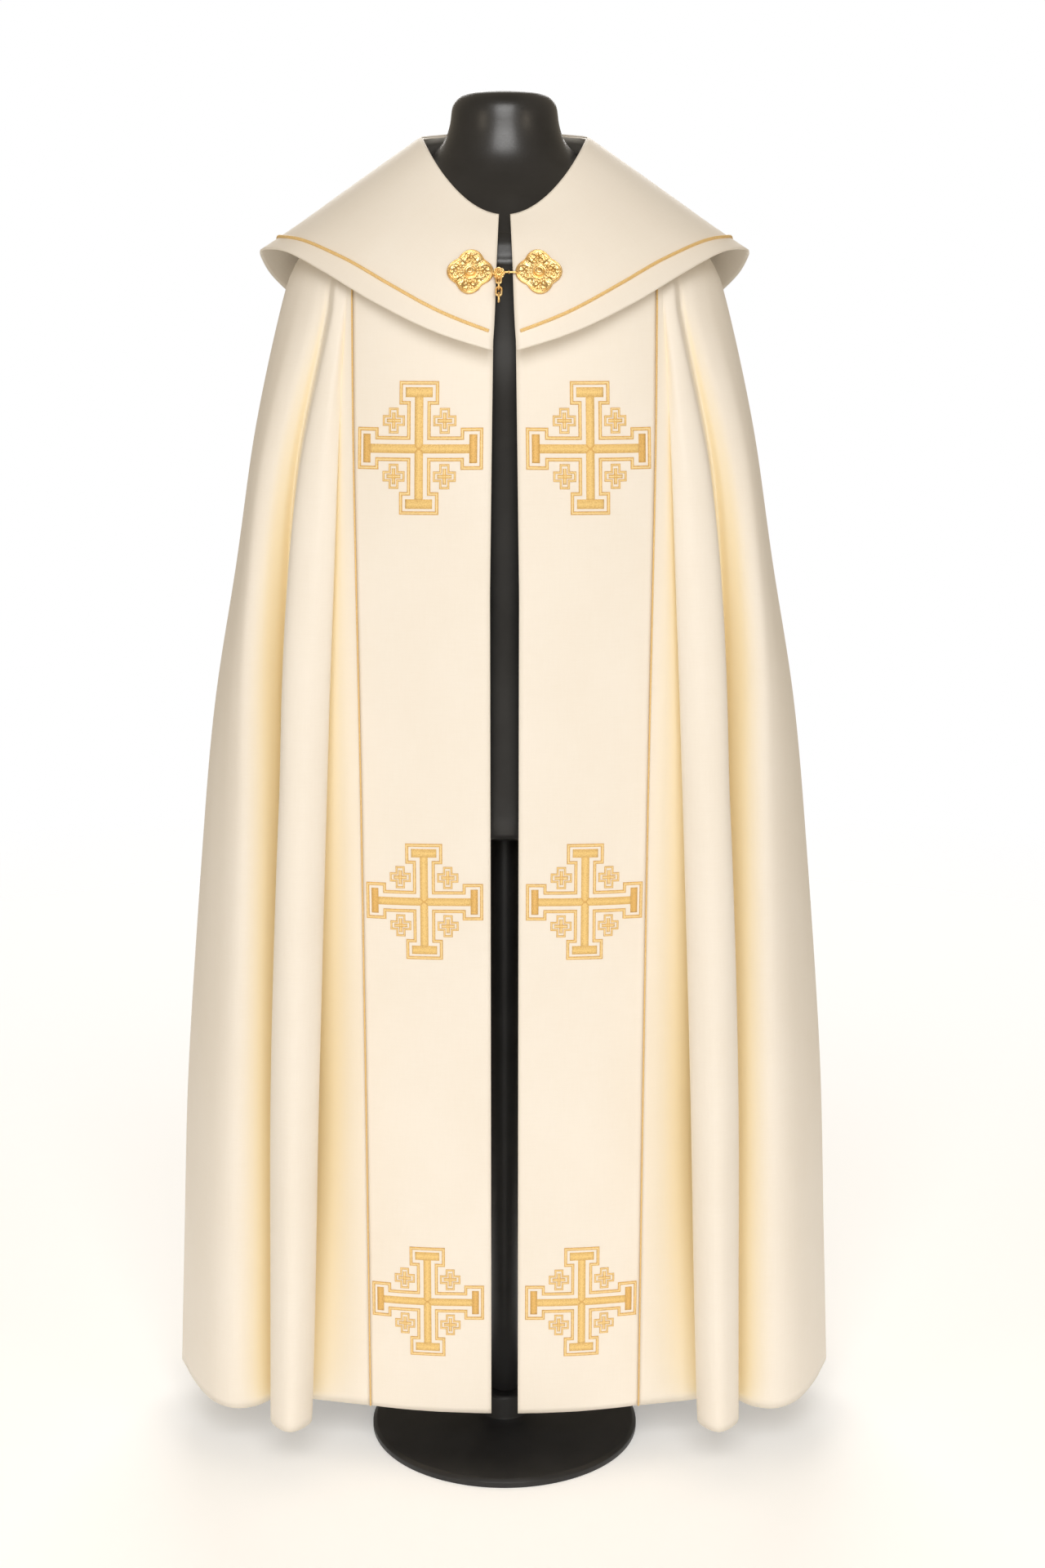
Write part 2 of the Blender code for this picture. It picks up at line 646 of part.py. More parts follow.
def main():
    for obj in list(bpy.data.objects):
        bpy.data.objects.remove(obj)
    parts = bpy.data.collections.new("cope_on_dress_form")
    bpy.context.scene.collection.children.link(parts)
    cream = material("cream_satin", CREAM, 0.55)
    thread = material("gold_thread", GOLD_THREAD, 0.45)
    metal = material("gold_metal", GOLD_METAL, 0.25, 1.0)
    black = material("form_black", FORM_BLACK, 0.35)

    body = np.array([body_row(level) for level in levels()])
    sewn = np.array([moved_in(moved_in(r, 0, SEAM_GAP / 2), -1, SEAM_GAP / 2) for r in body])
    cloth("cope_body", sewn, cream, parts)
    for name, side, column, other in (("left", -1, 0, 1), ("right", 1, -1, -2)):
        band = np.array([band_row(level, side) for level in levels()])
        band = np.array([moved_in(row, -1, SEAM_GAP / 2) for row in band])
        cloth("front_band_" + name, band, cream, parts)
        path = band_braid_path(body, column, other)
        tube("band_braid_" + name, path, BAND_BRAID_RADIUS, thread, parts)
    cape = cape_grid()
    cloth("shoulder_cape", cape, cream, parts)
    tube("cape_braid", cape_braid_path(cape), CAPE_BRAID_RADIUS, thread, parts)

    plate("clasp_plate_left", -1, metal, parts)
    plate("clasp_plate_right", 1, metal, parts)
    frame = cape_frame(0, CLASP_HEIGHT) @ Matrix.Translation((0, -STEM_DROP, 0))
    stem = turned("clasp_rosette", STEM_PROFILE, STEM_SIDES, metal, parts)
    placed(stem, frame @ Matrix.Translation((STEM_X, 0, 0)))
    placed(tube("clasp_hook", hook_path(), HOOK_WIRE, metal, parts), frame)
    for i, loop in enumerate(chain_links(), 1):
        link = tube(f"chain_link_{i}", loop, LINK_WIRE, metal, parts, closed=True, resolution=1)
        placed(link, frame)

    lofted("form_torso", form_rings(), black, parts)
    turned("stand_pole", POLE_PROFILE, POLE_SIDES, black, parts)
    turned("stand_base", BASE_PROFILE, BASE_SIDES, black, parts)


main()
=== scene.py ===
"""The look of the cope on its dress form: satin cloth, gold braid and stitching, clasp and black form.

Metres, +Z up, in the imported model's frame. The wearer's front faces -Y.
"""

import functools
import math

import bmesh
import bpy
import numpy as np
from mathutils import Matrix, Vector, noise


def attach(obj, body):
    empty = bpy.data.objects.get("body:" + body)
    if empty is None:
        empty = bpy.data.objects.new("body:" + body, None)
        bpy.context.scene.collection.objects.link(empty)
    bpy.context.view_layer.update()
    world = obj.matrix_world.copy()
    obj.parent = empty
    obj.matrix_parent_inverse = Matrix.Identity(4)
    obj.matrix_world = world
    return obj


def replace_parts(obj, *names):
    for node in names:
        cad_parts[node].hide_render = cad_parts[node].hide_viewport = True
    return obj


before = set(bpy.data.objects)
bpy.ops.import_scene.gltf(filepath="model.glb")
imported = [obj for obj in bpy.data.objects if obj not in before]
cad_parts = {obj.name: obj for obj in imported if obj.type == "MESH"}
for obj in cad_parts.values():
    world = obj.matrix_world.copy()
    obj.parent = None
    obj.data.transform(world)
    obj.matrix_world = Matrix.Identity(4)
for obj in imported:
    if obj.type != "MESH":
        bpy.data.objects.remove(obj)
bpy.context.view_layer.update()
BODY = "cope_on_form"
CHAIN = "chain_tail"
SIDES = {"left": -1, "right": 1}

# Driving dimensions of the cloth
WALL = 0.0018
SEAM_GAP = 0.0003
HEM_HEIGHT = 0.07
FRONT_EDGE = 0.0165
NECK_EDGE = 0.0095
FRONT_EDGE_DROP = 0.5
BAND_EDGE = 0.169
SEAM_TOP_HEIGHT = 1.477
SEAM_TOP_ANGLE = math.radians(45.24)
YOKE_HEIGHT = 1.431

# Rings of the cope from neckline to hem: heights at front, side and back, half width, then depths at
# front, side and back. A level ring has its height once.
RING_COLUMNS = ("z_front", "z_side", "z_back", "half_width", "y_front", "y_side", "y_back")
RINGS = (
    ("neckline", 1.529, 1.6126, 1.618, 0.093, -0.130, 0.000, 0.078),
    ("collar", 1.503, 1.5700, 1.592, 0.148, -0.146, 0.003, 0.112),
    ("shoulder", 1.472, 1.5240, 1.552, 0.205, -0.158, 0.006, 0.140),
    ("drop", 1.447, 1.4770, 1.500, 0.238, -0.167, 0.008, 0.156),
    ("yoke", 1.425, 1.4310, 1.440, 0.257, -0.173, 0.010, 0.165),
    ("chest", 1.280, 0.294, -0.180, 0.020, 0.180),
    ("ribs", 1.120, 0.321, -0.160, 0.022, 0.195),
    ("waist", 0.945, 0.352, -0.134, 0.026, 0.212),
    ("hip", 0.750, 0.374, -0.118, 0.030, 0.232),
    ("knee", 0.480, 0.398, -0.109, 0.034, 0.258),
    ("calf", 0.250, 0.410, -0.109, 0.037, 0.280),
    ("hem", HEM_HEIGHT, 0.419, -0.110, 0.040, 0.298),
)

# Fold lines from the band's seam round to the side. The shares run from 0 at the seam to 1 at the
# side, at each of SHARE_HEIGHTS. shift_x and shift_y move the line at the hem off the plain ring, hollow
# moves it further back round the height peak, and start is the height where the line sets in.
SHARE_HEIGHTS = (0.07, 0.85, 1.28, 1.431)
FOLD_COLUMNS = ("hem", "hip", "chest", "yoke", "shift_x", "shift_y", "hollow", "peak", "start")
SIDE_FOLDS = (
    ("band_seam", 0.000, 0.000, 0.000, 0.00, -0.001, 0.009, 0.001, 0.42, 1.32),
    ("inner_slope", 0.100, 0.060, 0.030, 0.01, -0.002, 0.010, 0.006, 0.42, 1.32),
    ("inner_valley_edge", 0.170, 0.110, 0.055, 0.02, 0.002, 0.012, 0.020, 0.42, 1.32),
    ("inner_valley", 0.205, 0.140, 0.075, 0.03, 0.011, 0.022, 0.036, 0.42, 1.34),
    ("tube_right_wall", 0.218, 0.150, 0.085, 0.04, -0.006, -0.010, 0.012, 0.42, 1.36),
    ("tube_right_edge", 0.231, 0.168, 0.100, 0.05, -0.023, -0.054, 0.000, 0.42, 1.40),
    ("tube_crest", 0.255, 0.222, 0.165, 0.08, -0.009, -0.084, 0.000, 0.42, 1.50),
    ("tube_left_edge", 0.280, 0.278, 0.250, 0.13, 0.0065, -0.058, -0.008, 0.90, 1.54),
    ("tube_left_wall", 0.293, 0.294, 0.282, 0.16, -0.003, -0.016, 0.004, 1.05, 1.54),
    ("outer_valley", 0.310, 0.312, 0.320, 0.19, -0.007, 0.012, 0.036, 1.05, 1.52),
    ("outer_valley_edge", 0.340, 0.348, 0.385, 0.25, -0.007, -0.010, 0.026, 1.05, 1.52),
    ("lobe_right", 0.390, 0.410, 0.480, 0.34, -0.005, -0.034, 0.010, 1.10, 1.50),
    ("lobe_crest", 0.460, 0.490, 0.600, 0.48, 0.000, -0.048, 0.000, 1.10, 1.48),
    ("lobe_left", 0.560, 0.580, 0.690, 0.60, 0.001, -0.044, 0.000, 1.10, 1.46),
    ("side_front", 0.680, 0.690, 0.770, 0.72, 0.000, -0.024, 0.000, 1.10, 1.44),
    ("side_edge", 0.820, 0.825, 0.870, 0.86, 0.000, 0.000, 0.000, 1.10, 1.44),
    ("side", 1.000, 1.000, 1.000, 1.00, 0.001, 0.012, 0.000, 1.10, 1.44),
)
# Fold lines across the back, from the side (share 1) to the centre (share 2), pushed out of the ring
# by bulge at the hem
BACK_COLUMNS = ("share_top", "share_hem", "bulge", "start")
BACK_FOLDS = (
    ("side_valley", 1.10, 1.13, -0.026, 1.25),
    ("wing_crest", 1.21, 1.25, 0.034, 1.30),
    ("wing_valley", 1.34, 1.38, -0.032, 1.32),
    ("blade_crest", 1.48, 1.51, 0.030, 1.34),
    ("blade_valley", 1.61, 1.64, -0.026, 1.30),
    ("spine_crest", 1.75, 1.77, 0.024, 1.25),
    ("spine_valley", 1.89, 1.89, -0.016, 1.20),
    ("centre", 2.00, 2.00, 0.006, 1.20),
)
BACK_FOLD_DEPTH = {-1: 1.0, 1: 0.86}
SIDE_SAMPLES = 6
BACK_SAMPLES = 8
FLARE_POWER = 2.1
GROWTH_POWER = 1.6
SET_IN = 0.12

# Shoulder cape: a full round collar from the neckline to its own hem, lifted off the cope's first rings
CAPE_LIFTS = (0.0026, 0.0070, 0.0125)
CAPE_HALF_WIDTH = 0.283
CAPE_Y_FRONT = -0.206
CAPE_Y_SIDE = 0.004
CAPE_Y_BACK = 0.206
CAPE_NECK_EDGE = 0.0062
CAPE_FRONT_EDGE = 0.0133
CAPE_EDGE_POWER = 2.6
CAPE_POINTED_FRONT = 1.55
# Height of the cape's hem by the angle round the body, 0 at the front and 180 at the back
CAPE_HEM_ANGLES = (0, 15, 30, 45, 60, 75, 90, 105, 125, 150, 180)
CAPE_HEM_HEIGHTS = (1.385, 1.407, 1.437, 1.468, 1.488, 1.490, 1.483, 1.455, 1.414, 1.372, 1.352)
CAPE_SPANS = 300
CAPE_ROWS = 60

# Gold braid sewn over the band seams and round the cape, where it dips nearer the hem at each front edge
CAPE_BRAID_INSET = 0.026
CAPE_BRAID_RADIUS = 0.0021
CAPE_BRAID_END = 0.0045
CAPE_BRAID_DIP = 0.0065
CAPE_BRAID_DIP_SHARE = 0.10
BAND_BRAID_RADIUS = 0.0011
BRAID_START_LEVEL = 2.8

# Clasp: two quatrefoil plates, a rosette on a stem beside the left one, a hook from the right one,
# and a chain's tail
CLASP_HEIGHT = 1.4705
PLATE_RADIUS = 0.0258
PLATE_X = 0.0373
PLATE_TURN = math.radians(6)
STEM_X = -0.0062
STEM_DROP = 0.0045
# (radius, height over the cape) up the rosette's stem
STEM_PROFILE = ((0.0049, 0.0004), (0.0049, 0.0022), (0.0012, 0.0024), (0.0012, 0.0077), (0.0012, 0.0082))
STEM_RADIUS = 0.0012
WIRE_GAP = 0.0004
FRAME_TRIES = 12
HOOK_WIRE = 0.0012
HOOK_LEVEL = 0.0038
HOOK_END_X = 0.0110
LINK_WIRE = 0.0011
LINK_HALF_WIDTH = 0.0030
LINK_LEVEL = 0.0064
FIRST_LINK_LENGTH = 0.0084
LINK_LENGTH = 0.0042
LINK_COUNT = 4
LINK_ARC_STEPS = 6

# Dress form, in rings like the cope's, from the seat up
FORM_RINGS = (
    ("seat_edge", 0.800, 0.110, -0.070, 0.005, 0.085),
    ("seat_round", 0.812, 0.142, -0.085, 0.008, 0.108),
    ("hip", 0.860, 0.165, -0.094, 0.010, 0.125),
    ("waist", 1.060, 0.148, -0.094, 0.008, 0.104),
    ("ribs", 1.220, 0.170, -0.122, 0.006, 0.122),
    ("chest", 1.330, 0.188, -0.142, 0.006, 0.130),
    ("armpit", 1.410, 0.200, -0.145, 0.006, 0.134),
    ("shoulder", 1.462, 1.490, 1.520, 0.203, -0.149, 0.006, 0.136),
)
# The form's shoulders follow the cope's rings, which rest on them: ring level and how far inside
# the cloth's middle
FORM_SHOULDER = (
    (1.75, 0.0024),
    (1.5, 0.0019),
    (1.25, 0.0019),
    (1.0, 0.0019),
    (0.7, 0.0030),
    (0.4, 0.0065),
)
FORM_NECK = (
    ("flare", 1.546, 1.590, 1.598, 0.0890, -0.1050, 0.003, 0.0760),
    ("flare_top", 1.566, 1.601, 1.607, 0.0765, -0.0840, 0.003, 0.0710),
    ("neck_foot", 1.590, 1.612, 1.618, 0.0680, -0.0660, 0.003, 0.0680),
    ("neck", 1.618, 1.628, 1.632, 0.0625, -0.0570, 0.003, 0.0650),
    ("neck_high", 1.648, 1.649, 1.650, 0.0590, -0.0530, 0.003, 0.0610),
    ("neck_round", 1.661, 0.0500, -0.0440, 0.003, 0.0520),
    ("neck_top", 1.666, 0.0360, -0.0300, 0.003, 0.0380),
)
FORM_SIDES = 120
FORM_STEPS = 4

# Stand: (radius, height) from the floor up
BASE_PROFILE = (
    (0.170, 0.0),
    (0.170, 0.007),
    (0.165, 0.011),
    (0.045, 0.015),
    (0.032, 0.020),
    (0.032, 0.048),
    (0.029, 0.051),
)
POLE_PROFILE = ((0.0175, 0.0513), (0.0175, 0.7997))
LATHE_EDGE = 0.0006
BASE_SIDES = 160
POLE_SIDES = 96

# Twisted cords: radius, strands, a strand's share of the radius, pitch, stretch across and outward
SEAM_CORD = (BAND_BRAID_RADIUS, 2, 0.56, 0.005, 1.0, 1.0)
CAPE_CORD = (CAPE_BRAID_RADIUS, 4, 0.42, 0.011, 1.25, 0.55)
CAPE_CORD_LIFT = 0.45
TWIST_STEPS = 8
TWIST_SPIN = 0.46
BODY_AXIS_Y = 0.02

# Sampling of the shown cloth
LEVEL_SAMPLES = 600
BODY_ROWS = 130
BAND_ROWS = 220
BAND_COLUMNS = 28

# Slow ripples of the cloth: (size across in m, size down in m, height in m)
RIPPLES = ((0.16, 1.1, 0.0022), (0.05, 0.45, 0.0007))
RIPPLE_RADIUS = 0.33
RIPPLE_TOP = 1.43
RIPPLE_FADE = 0.25
RIPPLE_LEAST = 0.25
RIPPLE_SHIFT = 40
BAND_RIPPLE = 0.35
CAPE_RIPPLE = 0.6
# Share of the last column's width by which the body's cloth stops short of the seam
SEAM_TUCK = 0.05

# Embroidered crosses
CROSS_X = 0.0953
# Height of each large cross and half its size
CROSSES = ((1.278, 0.0735), (0.736, 0.0714), (0.218, 0.0713))
# Shares of the half size
ARM_OUTLINE = 0.160
CAP_OUTLINE = 0.288
CAP_DEPTH = 0.320
OUTLINE_WIDTH = 0.052
STEM_HALF = 0.068
CAP_HALF = 0.215
CAP_INSET = 0.090
CAP_THICKNESS = (0.147, 0.122)
CROSS_STRETCH = (0.985, 1.014)
CROSS_SHEAR = 0.02
SMALL_OFFSET = (0.405, 0.417)
SMALL_HALF = (0.180, 0.190)
SMALL_ARM = 0.062
SMALL_OUTLINE = 0.034
SMALL_LINE = 0.056
SMALL_REACH = 0.70
FILL_OVERLAP = 0.01
MITRE_WIDTH = 0.022
# Stitching: a line's share taken by each dark edge, step along it, and the share of the half width
# and of the height at points across it
EDGE_SHARE = 0.36
STITCH_STEP = 0.0025
STITCH_PROFILE = ((-1, 0), (-0.82, 0.62), (-0.4, 0.95), (0, 1), (0.4, 0.95), (0.82, 0.62), (1, 0))
STITCH_END = 0.25
PATCH_STEP = 0.002
STITCH_LIFT = 0.00005
OUTLINE_HEIGHT = 0.0009
FILL_HEIGHT = 0.0007
# Heights of stitching as shares of those two
MIDDLE_LINE = 0.7
SIDE_FILL = 0.9
CAP_FILL = 1.15
MITRE_FILL = 1.5
SMALL_EDGE = 0.8
SMALL_FILL = (0.7, 0.85)
# Material index of each thread in a cross
OUTLINE, FILL, CAP, LIGHT = range(4)

CAMERA_Y = -3.0
CAMERA_HEIGHT = 1.60
CAMERA_PITCH = math.radians(14)
FOCAL_PIXELS = 3113
PHOTO_WIDTH = 1280
PHOTO_HEIGHT = 1920
AXIS_PIXEL = 618


def smooth_curve(at, heights, x):
    """Cubic curve through the points (at, heights), read at x."""
    at = np.asarray(at, float)
    heights = np.asarray(heights, float)
    slope = np.gradient(heights, at)
    i = int(np.clip(np.searchsorted(at, x) - 1, 0, len(at) - 2))
    span = at[i + 1] - at[i]
    s = (x - at[i]) / span
    rise, fall = s * s * (3 - 2 * s), 1 - s * s * (3 - 2 * s)
    return (
        fall * heights[i]
        + rise * heights[i + 1]
        + span * s * (1 - s) * ((1 - s) * slope[i] - s * slope[i + 1])
    )


def through(points, samples, closed=False):
    """Catmull-Rom curve through points, with samples[i] steps in the span after point i."""
    p = np.asarray(points, float)
    ends = (p[-1:], p[:2]) if closed else ([2 * p[0] - p[1]], [2 * p[-1] - p[-2]])
    p = np.vstack([ends[0], p, ends[1]])
    made = []
    for i, steps in enumerate(samples, 1):
        for k in range(steps):
            s = k / steps
            made.append(
                p[i]
                + 0.5 * s * (p[i + 1] - p[i - 1])
                + s * s * (p[i - 1] - 2.5 * p[i] + 2 * p[i + 1] - 0.5 * p[i + 2])
                + s**3 * (1.5 * (p[i] - p[i + 1]) + 0.5 * (p[i + 2] - p[i - 1]))
            )
    return np.array(made if closed else [*made, p[-2]])


def summed(steps):
    return np.concatenate([[0], np.cumsum(steps)])


def lengths_along(points):
    """Length along a line of points, up to each of them."""
    return summed(np.linalg.norm(np.diff(points, axis=0), axis=1))


def unit(vectors):
    return vectors / np.linalg.norm(vectors, axis=-1, keepdims=True)


def named_ring(row):
    heights = row[1:-4] if len(row) == 8 else row[1:2] * 3
    return dict(zip(RING_COLUMNS, heights + row[-4:]))


@functools.cache
def ring_at(level):
    """The cope's ring at a level, 0 at the neckline and len(RINGS) - 1 at the hem, as a dictionary."""
    rings = [named_ring(row) for row in RINGS]
    at = range(len(rings))
    return {name: smooth_curve(at, [ring[name] for ring in rings], level) for name in RING_COLUMNS}


def ring_point(ring, angle):
    """Point of an elliptical ring at an angle, 0 at the front and pi at the back."""
    far = "front" if angle < math.pi / 2 else "back"
    side = abs(math.cos(angle))
    y = ring["y_side"] + (ring["y_" + far] - ring["y_side"]) * side
    z = ring["z_side"] + (ring["z_" + far] - ring["z_side"]) * side**2
    return np.array([ring["half_width"] * math.sin(angle), y, z])


def band_angle(ring):
    """Angle of the seam between the front band and the body."""
    if ring["z_side"] >= SEAM_TOP_HEIGHT:
        return SEAM_TOP_ANGLE
    return math.asin(BAND_EDGE / ring["half_width"])


def front_edge_angle(ring):
    """Angle of the open front edge, which stands wider below the neck."""
    drop = np.clip((RINGS[0][2] - ring["z_side"]) / FRONT_EDGE_DROP, 0, 1)
    return math.asin((NECK_EDGE + (FRONT_EDGE - NECK_EDGE) * drop) / ring["half_width"])


def flare(z):
    """How far a fold line has moved from its place at the yoke to its place at the hem."""
    drop = np.clip((YOKE_HEIGHT - z) / (YOKE_HEIGHT - HEM_HEIGHT), 0, 1)
    return 1 - (1 - drop) ** FLARE_POWER


def growth(z, start):
    """Depth of a fold at height z as a share of its depth at the hem. It sets in with no kink."""
    drop = np.clip((start - z) / (start - HEM_HEIGHT), 0, 1)
    set_in = min(drop / SET_IN, 1)
    return (1 - (1 - drop) ** GROWTH_POWER) * set_in * (2 - set_in)


def side_line(ring, fold):
    """Point of one of SIDE_FOLDS on a ring."""
    row = dict(zip(FOLD_COLUMNS, fold[1:]))
    z = ring["z_side"]
    shares = [row[name] for name in FOLD_COLUMNS[:4]]
    share = smooth_curve(SHARE_HEIGHTS, shares, min(z, SHARE_HEIGHTS[-1]))
    seam = band_angle(ring)
    point = ring_point(ring, seam + share * (math.pi / 2 - seam))
    depth = growth(z, row["start"])
    length = row["start"] - HEM_HEIGHT
    down = np.clip((row["start"] - z) / length, 0, 1)
    turn = math.log(0.5) / math.log((row["start"] - row["peak"]) / length)
    hollow = row["hollow"] * math.sin(math.pi * down**turn) ** 2
    return point + np.array([depth * row["shift_x"], depth * row["shift_y"] + hollow, 0])


def back_line(ring, fold, side):
    """Point of one of BACK_FOLDS on a ring."""
    row = dict(zip(BACK_COLUMNS, fold[1:]))
    z = ring["z_side"]
    share = row["share_top"] + (row["share_hem"] - row["share_top"]) * flare(z)
    angle = share * math.pi / 2
    across = ring["y_back"] - ring["y_side"]
    out = unit(np.array([math.sin(angle) / ring["half_width"], -math.cos(angle) / across, 0]))
    depth = 1 if fold[0] == "centre" else BACK_FOLD_DEPTH[side]
    return ring_point(ring, angle) + row["bulge"] * depth * growth(z, row["start"]) * out


def grid_normals(grid):
    """Unit normals of a grid of points, by the slopes along its rows and columns."""
    return unit(np.cross(np.gradient(grid, axis=1), np.gradient(grid, axis=0)))


@functools.cache
def cape_profile(angle):
    """Line of the cape from neckline to hem at an angle, as four points."""
    out = np.array([math.sin(angle), -math.cos(angle), 1.0]) / math.sqrt(2)
    line = [ring_point(ring_at(level), angle) + lift * out for level, lift in enumerate(CAPE_LIFTS)]
    front = angle < math.pi / 2
    depth = CAPE_Y_FRONT if front else CAPE_Y_BACK
    share = abs(math.cos(angle)) ** (CAPE_POINTED_FRONT if front else 1)
    x, y = CAPE_HALF_WIDTH * math.sin(angle), CAPE_Y_SIDE + (depth - CAPE_Y_SIDE) * share
    z = smooth_curve(CAPE_HEM_ANGLES, CAPE_HEM_HEIGHTS, math.degrees(angle))
    return np.array([*line, (x, y, z)])


def cape_surface(angle, down):
    """Point of the cape's middle surface at an angle, down from 0 at the neckline to 1 at the hem."""
    line = cape_profile(angle)
    length = lengths_along(line)
    return np.array([smooth_curve(length / length[-1], line[:, i], down) for i in range(3)])


def cape_point(around, down):
    """Point of the cape. around runs from -1 at the left front edge to 1 at the right one."""
    edge = CAPE_NECK_EDGE + (CAPE_FRONT_EDGE - CAPE_NECK_EDGE) * down**CAPE_EDGE_POWER
    start = math.asin(edge / cape_surface(math.pi / 2, down)[0])
    point = cape_surface(math.pi - (math.pi - start) * abs(around), down)
    return point * (-1 if around < 0 else 1, 1, 1)


def cape_grid():
    around = np.linspace(-1, 1, CAPE_SPANS + 1)
    down = np.linspace(0, 1, CAPE_ROWS + 1)
    return np.array([[cape_point(a, d) for a in around] for d in down])


def cape_frame(x, z):
    """Matrix at x and z on the cape's outer face, with X to the side, Y up the slope and Z outward."""
    angle, down = 0.0, 0.5
    step = 1e-4
    for _ in range(FRAME_TRIES):
        here = cape_surface(angle, down)
        by_angle = (cape_surface(angle + step, down) - here) / step
        by_down = (cape_surface(angle, down + step) - here) / step
        slopes = np.array([[by_angle[0], by_down[0]], [by_angle[2], by_down[2]]])
        change = np.linalg.solve(slopes, [abs(x) - here[0], z - here[2]])
        angle += change[0]
        down += change[1]
    side = Vector(by_angle).normalized()
    up = -Vector(by_down).normalized()
    out = side.cross(up).normalized()
    here = Vector(here)
    if x < 0:
        here.x, out.x, up.x = -here.x, -out.x, -up.x
    side = up.cross(out).normalized()
    made = Matrix((side, up, out)).transposed().to_4x4()
    made.translation = here + out * WALL / 2
    return made


def round_ring(point_at, *given):
    """Points right round a ring whose one half is point_at(*given, angle)."""
    made = []
    for k in range(FORM_SIDES):
        angle = 2 * math.pi * k / FORM_SIDES
        half = min(angle, 2 * math.pi - angle)
        made.append(np.asarray(point_at(*given, half)) * (1 if angle <= math.pi else -1, 1, 1))
    return made


def worn_point(level, inset, angle):
    """Point under the cope's rings, inside the middle of the cloth by inset."""
    step = 1e-3
    here = ring_point(ring_at(level), angle)
    down = ring_point(ring_at(level + step), angle) - here
    turn = max(min(angle, math.pi - step), step)
    along = ring_point(ring_at(level), turn + step) - ring_point(ring_at(level), turn - step)
    out = unit(np.cross(down, along))
    if angle in (0, math.pi):
        out[0] = 0
    return here - out * inset


def flat_length(points, distance):
    """Point that lies a distance along a line of points, and its place in the line."""
    at = lengths_along(points)
    i = int(np.clip(np.searchsorted(at, distance) - 1, 0, len(at) - 2))
    share = (distance - at[i]) / (at[i + 1] - at[i])
    return points[i] + (points[i + 1] - points[i]) * share, i + share


def hook_path():
    """Wire from the right plate to the stem, and round it."""
    radius = STEM_RADIUS + WIRE_GAP + HOOK_WIRE
    turns = [math.radians(90 + a) for a in range(0, 241, 30)]
    bend = [(STEM_X + radius * math.cos(t), radius * math.sin(t), HOOK_LEVEL) for t in turns]
    return [(HOOK_END_X, radius, HOOK_LEVEL), *bend]


def link_path(top, bottom, half_width, flat):
    """Closed loop of a chain link between two arc centres. A flat one lies along the cloth."""
    path = []
    for centre, start in ((top, 0), (bottom, math.pi)):
        for k in range(LINK_ARC_STEPS + 1):
            angle = start + math.pi * k / LINK_ARC_STEPS
            across = half_width * math.cos(angle)
            up = centre + half_width * math.sin(angle)
            beside, over = (across, 0) if flat else (0, across)
            path.append((STEM_X + beside, up, LINK_LEVEL + over))
    return path


def chain_links():
    """Loops of the tail, each held by the one above; the first goes round the stem."""
    first = STEM_RADIUS + WIRE_GAP + LINK_WIRE
    loops = [link_path(0, -FIRST_LINK_LENGTH, first, True)]
    bottom = -FIRST_LINK_LENGTH - first
    for i in range(1, LINK_COUNT):
        end = bottom - LINK_LENGTH
        loops.append(link_path(bottom, end, LINK_HALF_WIDTH, i % 2 == 0))
        bottom = end - LINK_HALF_WIDTH
    return loops


# Materials

# Distance in metres over which occlusion in a fold is read, and where the painted golden shade begins and
# is full
PAINTED_FOLD_SHADE_REACH = 0.09
PAINTED_FOLD_SHADE_RANGE = {"From Min": 0.90, "From Max": 0.30}
# Satin: lighter and darker colour, roughness, sheen, and the colour of the golden shade painted into the
# folds
FACE_SATIN = ((0.905, 0.845, 0.762), (0.875, 0.806, 0.71), 0.5, 0.12, (0.96, 0.84, 0.59))
LINING_SATIN = ((0.80, 0.76, 0.69), (0.74, 0.69, 0.61), 0.62, 0.1)
WARP_SCALE = 330.0
WEFT_SCALE = 240.0
# Gold threads: darker and lighter colour, between which specks, wear and shade painted at each line's
# sides move, scale of the thread's bands, scale of its wear
THREADS = {
    "gold_braid": ((0.76, 0.47, 0.15), (0.97, 0.75, 0.37), 350.0, 700.0),
    "outline_stitch": ((0.50, 0.25, 0.045), (0.90, 0.58, 0.19), 420.0, 500.0),
    "fill_stitch": ((0.60, 0.33, 0.07), (0.95, 0.68, 0.27), 420.0, 900.0),
    # The cap stitch is the fill thread painted darker, standing in for the weaker reflection of stitches
    # that run sideways
    "cap_stitch_painted_shade": ((0.50, 0.26, 0.05), (0.86, 0.54, 0.17), 420.0, 900.0),
    "light_stitch": ((0.84, 0.55, 0.20), (0.98, 0.79, 0.42), 420.0, 700.0),
}
CAST_DARK, CAST_LIGHT = (0.86, 0.53, 0.18), (1.0, 0.74, 0.36)
CAST_ROUGH = (0.24, 0.42)
# Black finishes: colour, roughness, coat, scale and strength of the grain
FORM_BLACK = ((0.020, 0.019, 0.019), 0.34, 0.35, 700.0, 0.12)
STAND_BLACK = ((0.016, 0.016, 0.017), 0.45, 0.0, 1600.0, 0.25)


def new_material(name, values):
    """Material, its node tree and its shader, with values set on the shader's own sockets."""
    made = bpy.data.materials.new(name)
    made.use_nodes = True
    shader = made.node_tree.nodes["Principled BSDF"]
    for socket, value in values.items():
        shader.inputs[socket].default_value = value
    return made, made.node_tree, shader


def node(tree, kind, inputs=None, **settings):
    made = tree.nodes.new(kind)
    for key, value in settings.items():
        setattr(made, key, value)
    for key, value in (inputs or {}).items():
        if isinstance(value, bpy.types.NodeSocket):
            tree.links.new(value, made.inputs[key])
        else:
            made.inputs[key].default_value = value
    return made


def maths(tree, operation, a, b=0.0):
    return node(tree, "ShaderNodeMath", {0: a, 1: b}, operation=operation).outputs[0]


